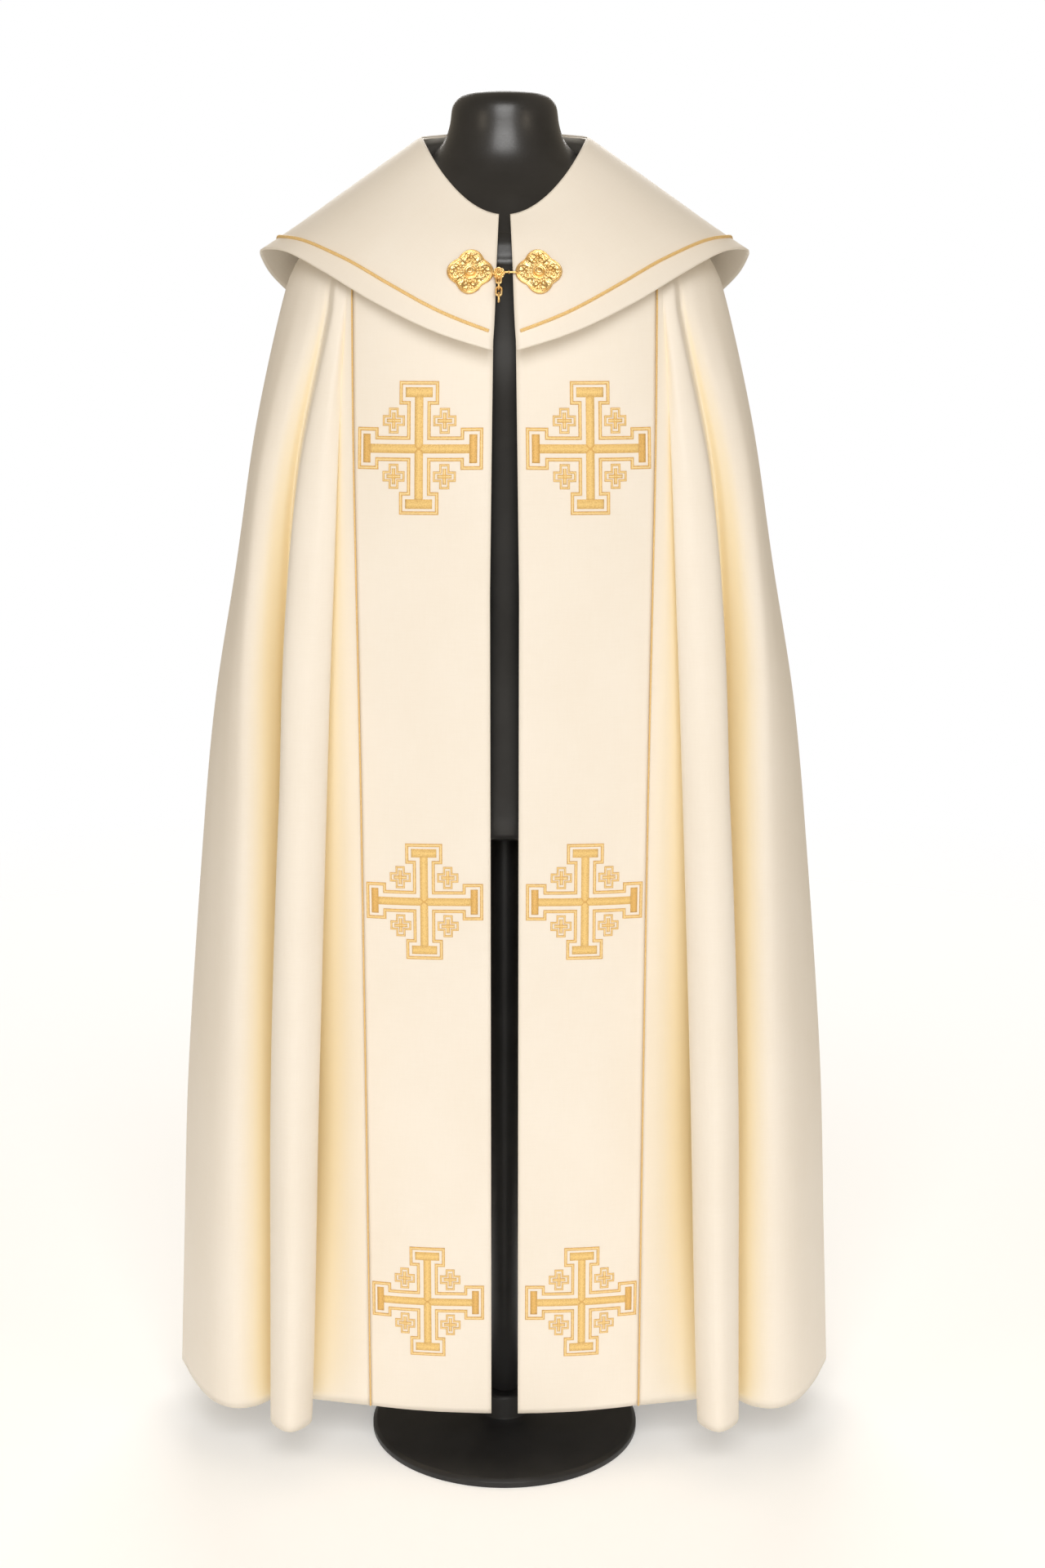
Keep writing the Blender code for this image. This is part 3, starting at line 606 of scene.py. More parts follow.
def ramp(tree, factor, *stops):
    """Colour ramp with two stops, each a place and a colour or a grey."""
    made = node(tree, "ShaderNodeValToRGB", {"Fac": factor})
    points = made.color_ramp.elements
    for point, (at, colour) in zip(points, stops):
        point.position = at
        point.color = (*(colour if isinstance(colour, tuple) else [colour] * 3), 1)
    return made.outputs["Color"]


def bump(tree, shader, heights):
    """Chain of bumps: (height socket, strength, distance in metres)."""
    before = {}
    for height, strength, distance in heights:
        inputs = {"Height": height, "Strength": strength, "Distance": distance, **before}
        before = {"Normal": node(tree, "ShaderNodeBump", inputs).outputs["Normal"]}
    tree.links.new(before["Normal"], shader.inputs["Normal"])


def cloth_uv(tree):
    return node(tree, "ShaderNodeUVMap", uv_map="cloth").outputs[0]


def scaled_uv(tree, x, y):
    return node(tree, "ShaderNodeMapping", {"Vector": cloth_uv(tree), "Scale": (x, y, 1)}).outputs[0]


def object_place(tree):
    return node(tree, "ShaderNodeTexCoord").outputs["Object"]


def cloud(tree, vector, scale, detail, **more):
    inputs = {"Vector": vector, "Scale": scale, "Detail": detail, **more}
    return node(tree, "ShaderNodeTexNoise", inputs).outputs["Fac"]


def bands(tree, direction, scale):
    """Even threads across the cloth's UV map."""
    along = scaled_uv(tree, int(direction == "X"), int(direction == "Y"))
    settings = {"wave_type": "BANDS", "bands_direction": direction}
    return node(tree, "ShaderNodeTexWave", {"Vector": along, "Scale": scale}, **settings).outputs["Fac"]


def satin(name, base, shade, roughness, sheen, fold=None):
    """Satin with crossing threads, slubs and slow tones, and golden shade painted into its folds. The UV
    map is in metres.
    """
    values = {"Roughness": roughness, "Sheen Weight": sheen, "Sheen Roughness": 0.4}
    values |= {"Sheen Tint": (1.0, 0.95, 0.86, 1), "Specular IOR Level": 0.35}
    made, tree, shader = new_material(name, values)
    tone = cloud(tree, scaled_uv(tree, 9, 5), 1.0, 4.0)
    slub = cloud(tree, scaled_uv(tree, 500, 36), 1.0, 3.0)
    cross = cloud(tree, scaled_uv(tree, 40, 620), 1.0, 2.0)
    fine = maths(tree, "MULTIPLY", maths(tree, "ADD", slub, cross), 0.2)
    both = maths(tree, "ADD", maths(tree, "MULTIPLY", tone, 0.6), fine)
    colour = ramp(tree, both, (0.30, shade), (0.62, base))
    # Painted shade: where ambient occlusion finds a fold, the colour is mixed towards the golden shade
    # colour
    if fold:
        shading = {"samples": 8, "only_local": True}
        near = node(tree, "ShaderNodeAmbientOcclusion", {"Distance": PAINTED_FOLD_SHADE_REACH}, **shading)
        painted_shade_share = node(tree, "ShaderNodeMapRange", {"Value": near.outputs["AO"], **PAINTED_FOLD_SHADE_RANGE}).outputs[0]
        painted_fold_shade_mix = node(tree, "ShaderNodeMix", {0: painted_shade_share, 6: colour, 7: (*fold, 1)}, data_type="RGBA")
        colour = painted_fold_shade_mix.outputs[2]
    tree.links.new(colour, shader.inputs["Base Color"])
    weave = maths(tree, "MAXIMUM", bands(tree, "X", WARP_SCALE), bands(tree, "Y", WEFT_SCALE))
    bump(tree, shader, ((slub, 0.10, 0.0004), (cross, 0.12, 0.0004), (weave, 0.12, 0.0001)))
    return made


def stitched(name):
    """One of THREADS, darker towards the sides of each line as painted shade. Its UV map has metres along
    the stitching in x and the share across it in y.
    """
    dark, light, thread_scale, wear_scale = THREADS[name]
    made, tree, shader = new_material(name, {"Metallic": 0.15, "Roughness": 0.48, "Sheen Weight": 0.15})
    across = node(tree, "ShaderNodeSeparateXYZ", {0: cloth_uv(tree)}).outputs["Y"]
    # Painted shade: each line of thread is darker towards its sides, standing in for shade round its
    # raised middle
    edge_shade_mask = maths(tree, "ABSOLUTE", maths(tree, "SUBTRACT", across, 0.5))
    speck = cloud(tree, scaled_uv(tree, 1100, 7), 1.0, 3.0)
    worn = cloud(tree, object_place(tree), wear_scale, 5.0, Roughness=0.7)
    shares = ((speck, 0.45), (worn, 0.75), (edge_shade_mask, 0.35))
    specks, wear, edge = (maths(tree, "MULTIPLY", part, share) for part, share in shares)
    wear_and_edge_shade = maths(tree, "SUBTRACT", maths(tree, "ADD", specks, wear), edge)
    tree.links.new(ramp(tree, wear_and_edge_shade, (0.28, dark), (0.62, light)), shader.inputs["Base Color"])
    bump(tree, shader, ((bands(tree, "X", thread_scale), 0.5, 0.0002), (worn, 0.35, 0.0004)))
    return made


def cast_gold():
    made, tree, shader = new_material("cast_gold", {"Metallic": 1.0})
    grain = cloud(tree, object_place(tree), 900.0, 4.0)
    wear = cloud(tree, object_place(tree), 160.0, 3.0)
    colour = ramp(tree, wear, (0.32, CAST_DARK), (0.66, CAST_LIGHT))
    tree.links.new(colour, shader.inputs["Base Color"])
    smooth, rough = CAST_ROUGH
    tree.links.new(ramp(tree, grain, (0.3, smooth), (0.7, rough)), shader.inputs["Roughness"])
    bump(tree, shader, ((grain, 0.25, 0.0002), (wear, 0.2, 0.0005)))
    return made


def black_finish(name, colour, roughness, coat, grain_scale, strength):
    made, tree, shader = new_material(name, {"Coat Weight": coat, "Coat Roughness": 0.25})
    grain = cloud(tree, object_place(tree), grain_scale, 5.0)
    shade = cloud(tree, object_place(tree), 22.0, 3.0)
    darker = tuple(0.55 * c for c in colour)
    tree.links.new(ramp(tree, shade, (0.3, darker), (0.7, colour)), shader.inputs["Base Color"])
    rough = ramp(tree, grain, (0.3, roughness - 0.06), (0.7, roughness + 0.08))
    tree.links.new(rough, shader.inputs["Roughness"])
    bump(tree, shader, ((grain, strength, 0.0003),))
    return made


# Building


def add(name, mesh, finishes, body=BODY):
    obj = bpy.data.objects.new(name, mesh)
    for finish in finishes:
        obj.data.materials.append(finish)
    bpy.context.scene.collection.objects.link(obj)
    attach(obj, body)
    return obj


def grid_faces(rows, columns, closed=False):
    faces = []
    for r in range(rows - 1):
        here, below = r * columns, (r + 1) * columns
        for c in range(columns if closed else columns - 1):
            beside = (c + 1) % columns
            faces.append((here + c, here + beside, below + beside, below + c))
    return faces


def mesh_from(name, points, faces, uv=None):
    mesh = bpy.data.meshes.new(name)
    mesh.from_pydata([tuple(p) for p in points], [], faces)
    if uv is not None:
        layer = mesh.uv_layers.new(name="cloth")
        index = np.empty(len(mesh.loops), np.int32)
        mesh.loops.foreach_get("vertex_index", index)
        layer.data.foreach_set("uv", np.asarray(uv, np.float32)[index].ravel())
    mesh.shade_smooth()
    return mesh


def metric_uv(grid):
    """Metres across and down a grid of points."""
    across = np.linalg.norm(np.diff(grid, axis=1), axis=2).mean(axis=0)
    down = np.linalg.norm(np.diff(grid, axis=0), axis=2).mean(axis=1)
    return np.stack(np.meshgrid(summed(across), summed(down)), axis=2).reshape(-1, 2)


def rippled(grid, amount=1.0):
    """The grid with slow ripples along its normals, the same at the same place for every piece."""
    heights = np.zeros(grid.shape[:2])
    for across, down, height in RIPPLES:
        for r, row in enumerate(grid):
            for c, p in enumerate(row):
                angle = math.atan2(p[0], -p[1]) * RIPPLE_RADIUS
                fade = min(max((RIPPLE_TOP - p[2]) / RIPPLE_FADE, RIPPLE_LEAST), 1.0)
                place = (angle / across, p[2] / down, across * RIPPLE_SHIFT)
                heights[r, c] += height * fade * noise.noise(place)
    return grid + grid_normals(grid) * (heights * amount)[:, :, None]


def cloth_piece(name, grid, finishes, replaces):
    """A wall of cloth over a grid of points, with its cut stated by its laid-out size."""
    mesh = mesh_from(name, grid.reshape(-1, 3), grid_faces(*grid.shape[:2]), metric_uv(grid))
    obj = add(name, mesh, finishes)
    wall = obj.modifiers.new("Wall", "SOLIDIFY")
    wall.thickness = WALL
    wall.offset = 0
    wall.material_offset = 1
    wall.material_offset_rim = 0
    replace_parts(obj, replaces)


def fine_levels(rows):
    """Ring levels spaced evenly down the cloth."""
    dense = np.linspace(0, len(RINGS) - 1, LEVEL_SAMPLES)
    length = lengths_along([ring_point(ring_at(float(level)), math.pi / 3) for level in dense])
    return np.interp(np.linspace(0, length[-1], rows), length, dense)


def body_grid():
    samples = [SIDE_SAMPLES] * (len(SIDE_FOLDS) - 1) + [BACK_SAMPLES] * len(BACK_FOLDS)
    made = []
    for level in fine_levels(BODY_ROWS):
        ring = ring_at(float(level))
        halves = {}
        for side in (-1, 1):
            lines = [side_line(ring, fold) for fold in SIDE_FOLDS]
            lines += [back_line(ring, fold, side) for fold in BACK_FOLDS]
            halves[side] = [line * (side, 1, 1) for line in lines]
        made.append(through(halves[-1] + halves[1][-2::-1], samples + samples[::-1]))
    return np.array(made)


def band_grid(side):
    made = []
    for level in fine_levels(BAND_ROWS):
        ring = ring_at(float(level))
        start, end = front_edge_angle(ring), band_angle(ring)
        seam = side_line(ring, SIDE_FOLDS[0]) - ring_point(ring, end)
        shares = np.linspace(0, 1, BAND_COLUMNS)
        row = [ring_point(ring, start + (end - start) * s) + seam * s**2 for s in shares]
        made.append(np.array(row) * (side, 1, 1))
    return np.array(made)


def curve_piece(name, lines, radius, resolution, closed, finish, body, replaces):
    """Round wires along lines of points, as one curve."""
    curve = bpy.data.curves.new(name, "CURVE")
    curve.dimensions = "3D"
    curve.bevel_depth = radius
    curve.bevel_resolution = resolution
    curve.use_fill_caps = not closed
    for line in lines:
        spline = curve.splines.new("POLY")
        spline.points.add(len(line) - 1)
        spline.points.foreach_set("co", np.hstack([line, np.ones((len(line), 1))]).ravel())
        spline.use_cyclic_u = closed
    obj = add(name, curve, (finish,), body)
    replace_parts(obj, replaces)


def twisted(name, path, braid, finish, replaces):
    """A cord of strands wound round each other along a path of points."""
    radius, strands, strand_share, pitch, across, out_of = braid
    length = lengths_along(path)
    at = np.linspace(0, length[-1], int(length[-1] / pitch * TWIST_STEPS))
    centre = np.stack([np.interp(at, length, np.asarray(path)[:, i]) for i in range(3)], axis=1)
    ahead = unit(np.gradient(centre, axis=0))
    side = unit(np.cross(centre * (1, 1, 0) - (0, BODY_AXIS_Y, 0), ahead))
    out = np.cross(ahead, side)
    spin = radius * TWIST_SPIN
    lines = []
    for k in range(strands):
        turn = (2 * math.pi * (at / pitch + k / strands))[:, None]
        lines.append(centre + side * np.cos(turn) * spin * across + out * np.sin(turn) * spin * out_of)
    curve_piece(name, lines, radius * strand_share, 1, False, finish, BODY, replaces)


# Embroidery


class Patch:
    """A band's outer face, read by metres across from its front edge and by height."""

    def __init__(self, grid, side):
        self.grid = grid + grid_normals(grid) * (WALL / 2) * (-1 if side > 0 else 1)
        self.side = side
        steps = np.linalg.norm(np.diff(self.grid, axis=1), axis=2)
        self.across = np.concatenate([np.zeros((len(grid), 1)), np.cumsum(steps, axis=1)], axis=1)
        self.heights = self.grid[:, len(grid[0]) // 2, 2]

    def row(self, z):
        r = np.interp(-z, -self.heights, np.arange(len(self.heights)))
        low = int(min(r, len(self.heights) - 2))
        share = r - low
        both = (self.grid, self.across)
        return [rows[low] * (1 - share) + rows[low + 1] * share for rows in both]

    def point(self, x, z):
        row, across = self.row(z)
        return np.array([np.interp(x, across, row[:, i]) for i in range(3)])

    def at(self, x, z, lift):
        """Point at metres across and height, lifted off the cloth."""
        step = PATCH_STEP
        here = self.point(x, z)
        right = self.point(x + step, z) - self.point(x - step, z)
        up = self.point(x, z + step) - self.point(x, z - step)
        out = unit(np.cross(right, up))
        return here + (-out if out[1] > 0 else out) * lift


def offset_corners(path, distance, closed):
    """The path moved sideways, with its corners mitred."""
    points = np.array(path)
    ahead = np.roll(points, -1, axis=0) - points
    after = unit(np.stack([-ahead[:, 1], ahead[:, 0]], axis=1))
    before = np.roll(after, 1, axis=0)
    if not closed:
        after[-1] = before[-1]
        before[0] = after[0]
    both = before + after
    return points + both / (both * before).sum(axis=1, keepdims=True) * distance


def stroke(path, width, height, closed):
    """Rows of (x, z, lift, u, v) across a raised line of stitching."""
    lines = np.array([offset_corners(path, share * width / 2, closed) for share, _ in STITCH_PROFILE])
    spans = len(path) - (0 if closed else 1)
    rows = []
    u = 0.0
    for i in range(spans):
        j = (i + 1) % len(path)
        length = math.dist(path[i], path[j])
        steps = max(1, round(length / STITCH_STEP))
        for k in range(steps + (i == spans - 1)):
            s = k / steps
            tip = not closed and (i, k) in ((0, 0), (spans - 1, steps))
            top = height * (STITCH_END if tip else 1)
            row = []
            for (x, z), (share, lift) in zip(lines[:, i] * (1 - s) + lines[:, j] * s, STITCH_PROFILE):
                row.append((x, z, STITCH_LIFT + top * lift, u + length * s, share / 2 + 0.5))
            rows.append(row)
        u += length
    return np.array(rows)


def quarter_turn(k, x, z):
    c, s = ((1, 0), (0, 1), (-1, 0), (0, -1))[k]
    return c * x - s * z, s * x + c * z


def corded(path, width, height, closed):
    """A light line of stitching between two fine dark ones, as (stroke rows, material index). The dark
    ones are partly darker thread and partly shade painted along the raised line's sides.
    """
    made = [(stroke(path, width, height * MIDDLE_LINE, closed), LIGHT)]
    # The two dark sides are partly painted shade along the raised line
    for k in (-1, 1):
        beside = offset_corners(path, k * width * (1 - EDGE_SHARE) / 2, closed)
        made.append((stroke(beside, width * EDGE_SHARE, height, closed), OUTLINE))
    return made


def cross_strokes(half):
    """(stroke rows, material index) for a large cross and its four small ones, round its centre."""
    arm, cap, foot = ARM_OUTLINE, CAP_OUTLINE, 1 - CAP_DEPTH
    edge = 1 - OUTLINE_WIDTH / 2
    corner = [(arm, arm), (arm, foot), (cap, foot), (cap, edge), (-cap, edge), (-cap, foot), (-arm, foot)]
    outline = [np.array(quarter_turn(k, *point)) * half for k in range(4) for point in corner]
    made = corded(outline, OUTLINE_WIDTH * half, OUTLINE_HEIGHT, True)
    for k in range(4):
        sideways = k % 2
        thick = CAP_THICKNESS[sideways]
        inner = 1 - CAP_INSET - thick
        foot = 0.0 if sideways else -FILL_OVERLAP
        stem = [np.array(quarter_turn(k, 0, z)) * half for z in (foot, inner + FILL_OVERLAP)]
        height = FILL_HEIGHT * (SIDE_FILL if sideways else 1.0)
        made.append((stroke(stem, 2 * STEM_HALF * half, height, False), FILL))
        bar = [np.array(quarter_turn(k, x, inner + thick / 2)) * half for x in (-CAP_HALF, CAP_HALF)]
        # Painted shade: the sideways caps take the darker cap stitch
        made.append((stroke(bar, thick * half, FILL_HEIGHT * CAP_FILL, False), CAP if sideways else FILL))
    tip = STEM_HALF * half
    for k in (1, -1):
        mitre = [(-tip, -k * tip * 0.9), (0, k * tip * 0.15), (tip, -k * tip * 0.9)]
        # The mitres also take the cap stitch's painted shade
        made.append((stroke(mitre, MITRE_WIDTH * half, FILL_HEIGHT * MITRE_FILL, False), CAP))
    arm = SMALL_ARM
    wide, tall = (reach - SMALL_OUTLINE / 2 for reach in SMALL_HALF)
    corner = [(arm, arm), (arm, tall), (-arm, tall), (-arm, arm), (-wide, arm), (-wide, -arm)]
    corner += [(-x, -z) for x, z in corner]
    for sx, sz in ((-1, -1), (-1, 1), (1, -1), (1, 1)):
        move = np.multiply((sx, sz), SMALL_OFFSET) * half
        loop = [np.array(p) * half + move for p in corner]
        made += corded(loop, SMALL_OUTLINE * half, OUTLINE_HEIGHT * SMALL_EDGE, True)
        for end, share in zip(((0, tall), (wide, 0)), SMALL_FILL):
            ends = [np.array(end) * half * SMALL_REACH * k + move for k in (-1, 1)]
            made += corded(ends, SMALL_LINE * half, OUTLINE_HEIGHT * share, False)
    return made


def embroider(name, patch, z, strokes, finishes):
    centre_row, across = patch.row(z)
    x0 = np.interp(CROSS_X, np.abs(centre_row[:, 0]), across)
    points, faces, uv, slots = [], [], [], []
    for rows, slot in strokes:
        start = len(points)
        for x, up, lift, u, v in rows.reshape(-1, rows.shape[-1]):
            x *= patch.side
            height = z + up * CROSS_STRETCH[1] - CROSS_SHEAR * x
            points.append(patch.at(x0 + x * CROSS_STRETCH[0], height, lift))
            uv.append((u, v))
        count, columns = rows.shape[:2]
        faces += [tuple(start + i for i in face) for face in grid_faces(count, columns)]
        if not np.allclose(rows[0, :, :2], rows[-1, :, :2]):
            for end in (start, start + (count - 1) * columns):
                faces.append(tuple(range(end, end + columns)))
        slots += [slot] * (len(faces) - len(slots))
    mesh = mesh_from(name, points, faces, uv)
    mesh.polygons.foreach_set("material_index", slots)
    made = bmesh.new()
    made.from_mesh(mesh)
    bmesh.ops.recalc_face_normals(made, faces=made.faces)
    made.to_mesh(mesh)
    made.free()
    return add(name, mesh, finishes)


# Clasp

# Rings and steps of the grids of heights
PLATE_GRID = (46, 160)
FLOWER_GRID = (20, 96)
STEM_SIDES = 48
PLATE_BASE = 0.0018
PLATE_SKIRT = 0.0004
PLATE_WAIST = 0.805
LOBE_POWER = 0.7
# Ridges of the relief: place, half width and height in metres. The rim's places and widths are
# shares of the outline, and the others are distances from the middle.
PLATE_RIDGES = ((0.0, 0.0010, 0.0010), (0.0026, 0.0006, 0.0010), (0.0049, 0.0008, 0.0016))
PLATE_RIDGES += ((0.0078, 0.0007, 0.0007), (0.0125, 0.004, -0.0004))
RIM_RIDGES = ((0.955, 0.030, 0.0013), (0.875, 0.014, 0.0006))
ROPE, ROPE_TURNS = (0.80, 0.022, 0.0007), 44
BEADS, BEAD_COUNT = (0.0098, 0.0009, 0.0009), 18
BOSS_HEIGHT, BOSS_RADIUS, BOSS_POWER = 0.0052, 0.0066, 1.15
# The spray in each lobe, by the distance from the lobe's own centre
LOBE_CENTRE = 0.0158
LOBE_BEAD = (0.0, 0.0026, 0.0030)
PETALS, PETAL_COUNT = (0.0046, 0.0011, 0.0014), 6
SCROLL, SCROLL_START, SCROLL_FADE = (0.0067, 0.0007, 0.0012), -0.001, 0.0008
CURL_PLACE = (-0.0052, 0.0040)
CURL_RIDGES = ((0.0018, 0.0006, 0.0011), (0.0, 0.0007, 0.0008))
LEAF_PLACE, LEAF_LENGTH, LEAF_WIDTH, LEAF_HEIGHT = 0.0138, 0.0034, 0.0021, 0.0016
VEIN_WIDTH, VEIN_DEPTH = 0.0005, 0.0006
# The rosette: radius, depth of its scallops, petals, base and skirt, ridges, and the button's cone
FLOWER_RADIUS, FLOWER_SCALLOP, FLOWER_PETALS = 0.0065, 0.0004, 8
FLOWER_BASE, FLOWER_SKIRT = 0.0082, 0.0079
FLOWER_PETAL, FLOWER_RING = (0.0047, 0.0014, 0.0014), (0.0026, 0.0005, 0.0006)
FLOWER_RIM = (0.95, 0.05, 0.0007)
BUTTON_HEIGHT, BUTTON_RADIUS = 0.0022, 0.0026
# The hook's bar reaches onto the right plate's rim and carries a collar
HOOK_SOLDER_X = 0.0145
HOOK_COLLAR_X = 0.0048
HOOK_COLLAR_WIRE = 0.0009
HOOK_COLLAR_STEPS = 16
HOOK_STEPS = 4
LINK_STEPS = 2


def hill(distance, width):
    return math.exp(-((distance / width) ** 2))


def ridge(at, row):
    place, width, height = row
    return height * hill(at - place, width)


def swell(count, angle):
    """Wave from 0 to 1 that peaks count times in a turn."""
    return 0.5 + 0.5 * math.cos(count * angle)


def polar(radius, angle):
    return radius * math.cos(angle), radius * math.sin(angle)


def plate_outline(angle):
    return PLATE_RADIUS * (PLATE_WAIST + (1 - PLATE_WAIST) * swell(4, angle) ** LOBE_POWER)


def plate_height(x, y, share, angle):
    """Relief of a clasp plate over its plane: boss, rings, beads, and a spray of leaves in each lobe."""
    r = math.hypot(x, y)
    height = PLATE_BASE + BOSS_HEIGHT * max(0.0, 1 - r / BOSS_RADIUS) ** BOSS_POWER
    height += sum(ridge(r, row) for row in PLATE_RIDGES) + sum(ridge(share, row) for row in RIM_RIDGES)
    height += ridge(share, ROPE) * swell(ROPE_TURNS, angle) + ridge(r, BEADS) * swell(BEAD_COUNT, angle)
    for k in range(4):
        c, s = polar(1, k * math.pi / 2)
        out, side = x * c + y * s - LOBE_CENTRE, y * c - x * s
        near = math.hypot(out, side)
        petals = swell(PETAL_COUNT, math.atan2(side, out))
        height += ridge(near, LOBE_BEAD) + ridge(near, PETALS) * petals
        height += ridge(near, SCROLL) / (1 + math.exp((SCROLL_START - out) / SCROLL_FADE))
        curl = math.hypot(out - CURL_PLACE[0], abs(side) - CURL_PLACE[1])
        height += sum(ridge(curl, row) for row in CURL_RIDGES)
        c, s = polar(1, (k + 0.5) * math.pi / 2)
        spine, off = x * c + y * s, y * c - x * s
        leaf = hill(spine - LEAF_PLACE, LEAF_LENGTH) * hill(off, LEAF_WIDTH)
        height += leaf * (LEAF_HEIGHT - VEIN_DEPTH * hill(off, VEIN_WIDTH))
    return height


def relief(name, outline, height, grid, skirt):
    """A raised disc: polar grid of heights with a skirt down to the cloth and a closed back."""
    rings, steps = grid
    angles = [2 * math.pi * k / steps for k in range(steps)]
    points = []
    for share in (i / rings for i in range(1, rings + 1)):
        for angle in angles:
            x, y = polar(outline(angle) * share, angle)
            points.append((x, y, height(x, y, share, angle)))
    points += [(*polar(outline(angle), angle), skirt) for angle in angles]
    points.append((0, 0, height(0, 0, 0, 0)))
    faces = [face[::-1] for face in grid_faces(rings + 1, steps, closed=True)]
    faces += [(len(points) - 1, k, (k + 1) % steps) for k in range(steps)]
    faces.append(tuple(range((rings + 1) * steps - 1, rings * steps - 1, -1)))
    return mesh_from(name, points, faces)


def rosette_outline(angle):
    return FLOWER_RADIUS + FLOWER_SCALLOP * math.cos(FLOWER_PETALS * angle)


def rosette_height(x, y, share, angle):
    r = math.hypot(x, y)
    height = FLOWER_BASE + ridge(r, FLOWER_PETAL) * swell(FLOWER_PETALS, angle)
    height += ridge(share, FLOWER_RIM) + ridge(r, FLOWER_RING)
    return height + BUTTON_HEIGHT * max(0.0, 1 - r / BUTTON_RADIUS)


def wire(name, points, radius, place, closed, body, replaces, finish):
    line = [place @ Vector(point) for point in points]
    curve_piece(name, [line], radius, 4, closed, finish, body, replaces)


def make_clasp(gold):
    """Each piece stays at the origin, and the frame's place goes into its mesh."""
    for name, side in SIDES.items():
        mesh = relief("clasp_relief_" + name, plate_outline, plate_height, PLATE_GRID, PLATE_SKIRT)
        turn = Matrix.Rotation(-side * PLATE_TURN, 4, "Z")
        mesh.transform(cape_frame(side * PLATE_X, CLASP_HEIGHT) @ turn)
        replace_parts(add("clasp_relief_" + name, mesh, (gold,)), "clasp_plate_" + name)
    place = cape_frame(0, CLASP_HEIGHT) @ Matrix.Translation((0, -STEM_DROP, 0))
    at_stem = place @ Matrix.Translation((STEM_X, 0, 0))
    flower = relief("rosette_flower", rosette_outline, rosette_height, FLOWER_GRID, FLOWER_SKIRT)
    flower.transform(at_stem)
    add("rosette_flower", flower, (gold,))
    stem = lathe("rosette_stem", STEM_PROFILE, STEM_SIDES, (gold,))
    stem.data.transform(at_stem)
    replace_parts(stem, "clasp_rosette")
    bend = hook_path()
    _, y, z = bend[0]
    bar = through([(HOOK_SOLDER_X, y, z - HOOK_WIRE), *bend], [HOOK_STEPS] * len(bend))
    turns = [2 * math.pi * k / HOOK_COLLAR_STEPS for k in range(HOOK_COLLAR_STEPS)]
    collar = [(HOOK_COLLAR_X, y + dy, z + dz) for dy, dz in (polar(HOOK_WIRE, turn) for turn in turns)]
    wire("hook_collar", collar, HOOK_COLLAR_WIRE, place, True, BODY, "clasp_hook", gold)
    wire("clasp_hook_wire", bar, HOOK_WIRE, place, False, BODY, "clasp_hook", gold)
    for i, loop in enumerate(chain_links(), 1):
        points = through(loop[:-1], [LINK_STEPS] * (len(loop) - 1), closed=True)
        wire(f"chain_loop_{i}", points, LINK_WIRE, place, True, CHAIN, f"chain_link_{i}", gold)


# Form and stand


def lofted_mesh(name, rings):
    sides = len(rings[0])
    faces = grid_faces(len(rings), sides, closed=True)
    faces.append(tuple(reversed(range(sides))))
    faces.append(tuple((len(rings) - 1) * sides + k for k in range(sides)))
    return mesh_from(name, [p for ring in rings for p in ring], faces)


def lathe(name, profile, sides, finishes):
    turns = [2 * math.pi * k / sides for k in range(sides)]
    rings = [[(*polar(r, turn), z) for turn in turns] for r, z in profile]
    obj = add(name, lofted_mesh(name, rings), finishes)
    soft = obj.modifiers.new("Edge", "BEVEL")
    soft.width = LATHE_EDGE
    soft.segments = 2
    soft.limit_method = "ANGLE"
    soft.angle_limit = math.radians(35)
    return obj


def make_form(black, stand):
    rows = [round_ring(ring_point, named_ring(row)) for row in FORM_RINGS]
    rows += [round_ring(worn_point, *row) for row in FORM_SHOULDER]
    rows += [round_ring(ring_point, named_ring(row)) for row in FORM_NECK]
    steps = [FORM_STEPS] * (len(rows) - 1)
    rings = through(np.reshape(rows, (len(rows), -1)), steps).reshape(-1, FORM_SIDES, 3)
    obj = add("form_shell", lofted_mesh("form_shell", rings), (black,))
    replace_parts(obj, "form_torso")
    pole = lathe("pole_tube", POLE_PROFILE, POLE_SIDES, (stand,))
    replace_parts(pole, "stand_pole")
    base = lathe("base_plate", BASE_PROFILE, BASE_SIDES, (stand,))
    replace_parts(base, "stand_base")


# Cloth pieces


def make_cloth(satins, thread):
    """Every piece of cloth and its braid. Gives the bands' outer faces, by side."""
    body = rippled(body_grid())
    edges = {-1: body[:, 0].copy(), 1: body[:, -1].copy()}
    body[:, 0] += (body[:, 1] - body[:, 0]) * SEAM_TUCK
    body[:, -1] += (body[:, -2] - body[:, -1]) * SEAM_TUCK
    cloth_piece("cope_cloth", body, satins, "cope_body")
    patches = {}
    for name, side in SIDES.items():
        band = rippled(band_grid(side), BAND_RIPPLE)
        band[:, -1] = seam_at(edges[side], band)
        # The columns run from left to right, so that the outer face is the right side of the cloth
        cloth_piece("band_cloth_" + name, band[:, ::-side], satins, "front_band_" + name)
        patches[side] = Patch(band, side)
        make_seam_braid(name, band, side, thread)
    cape = rippled(cape_grid(), CAPE_RIPPLE)
    cloth_piece("cape_cloth", cape, satins, "shoulder_cape")
    make_cape_braid(cape, thread)
    return patches


def seam_at(edge, band):
    """The body's edge read at the band's rows, a hair's width short of it."""
    at = np.linspace(0, 1, len(edge))
    to = np.linspace(0, 1, len(band))
    moved = np.stack([np.interp(to, at, edge[:, i]) for i in range(3)], axis=1)
    return moved + unit(band[:, -2] - moved) * SEAM_GAP


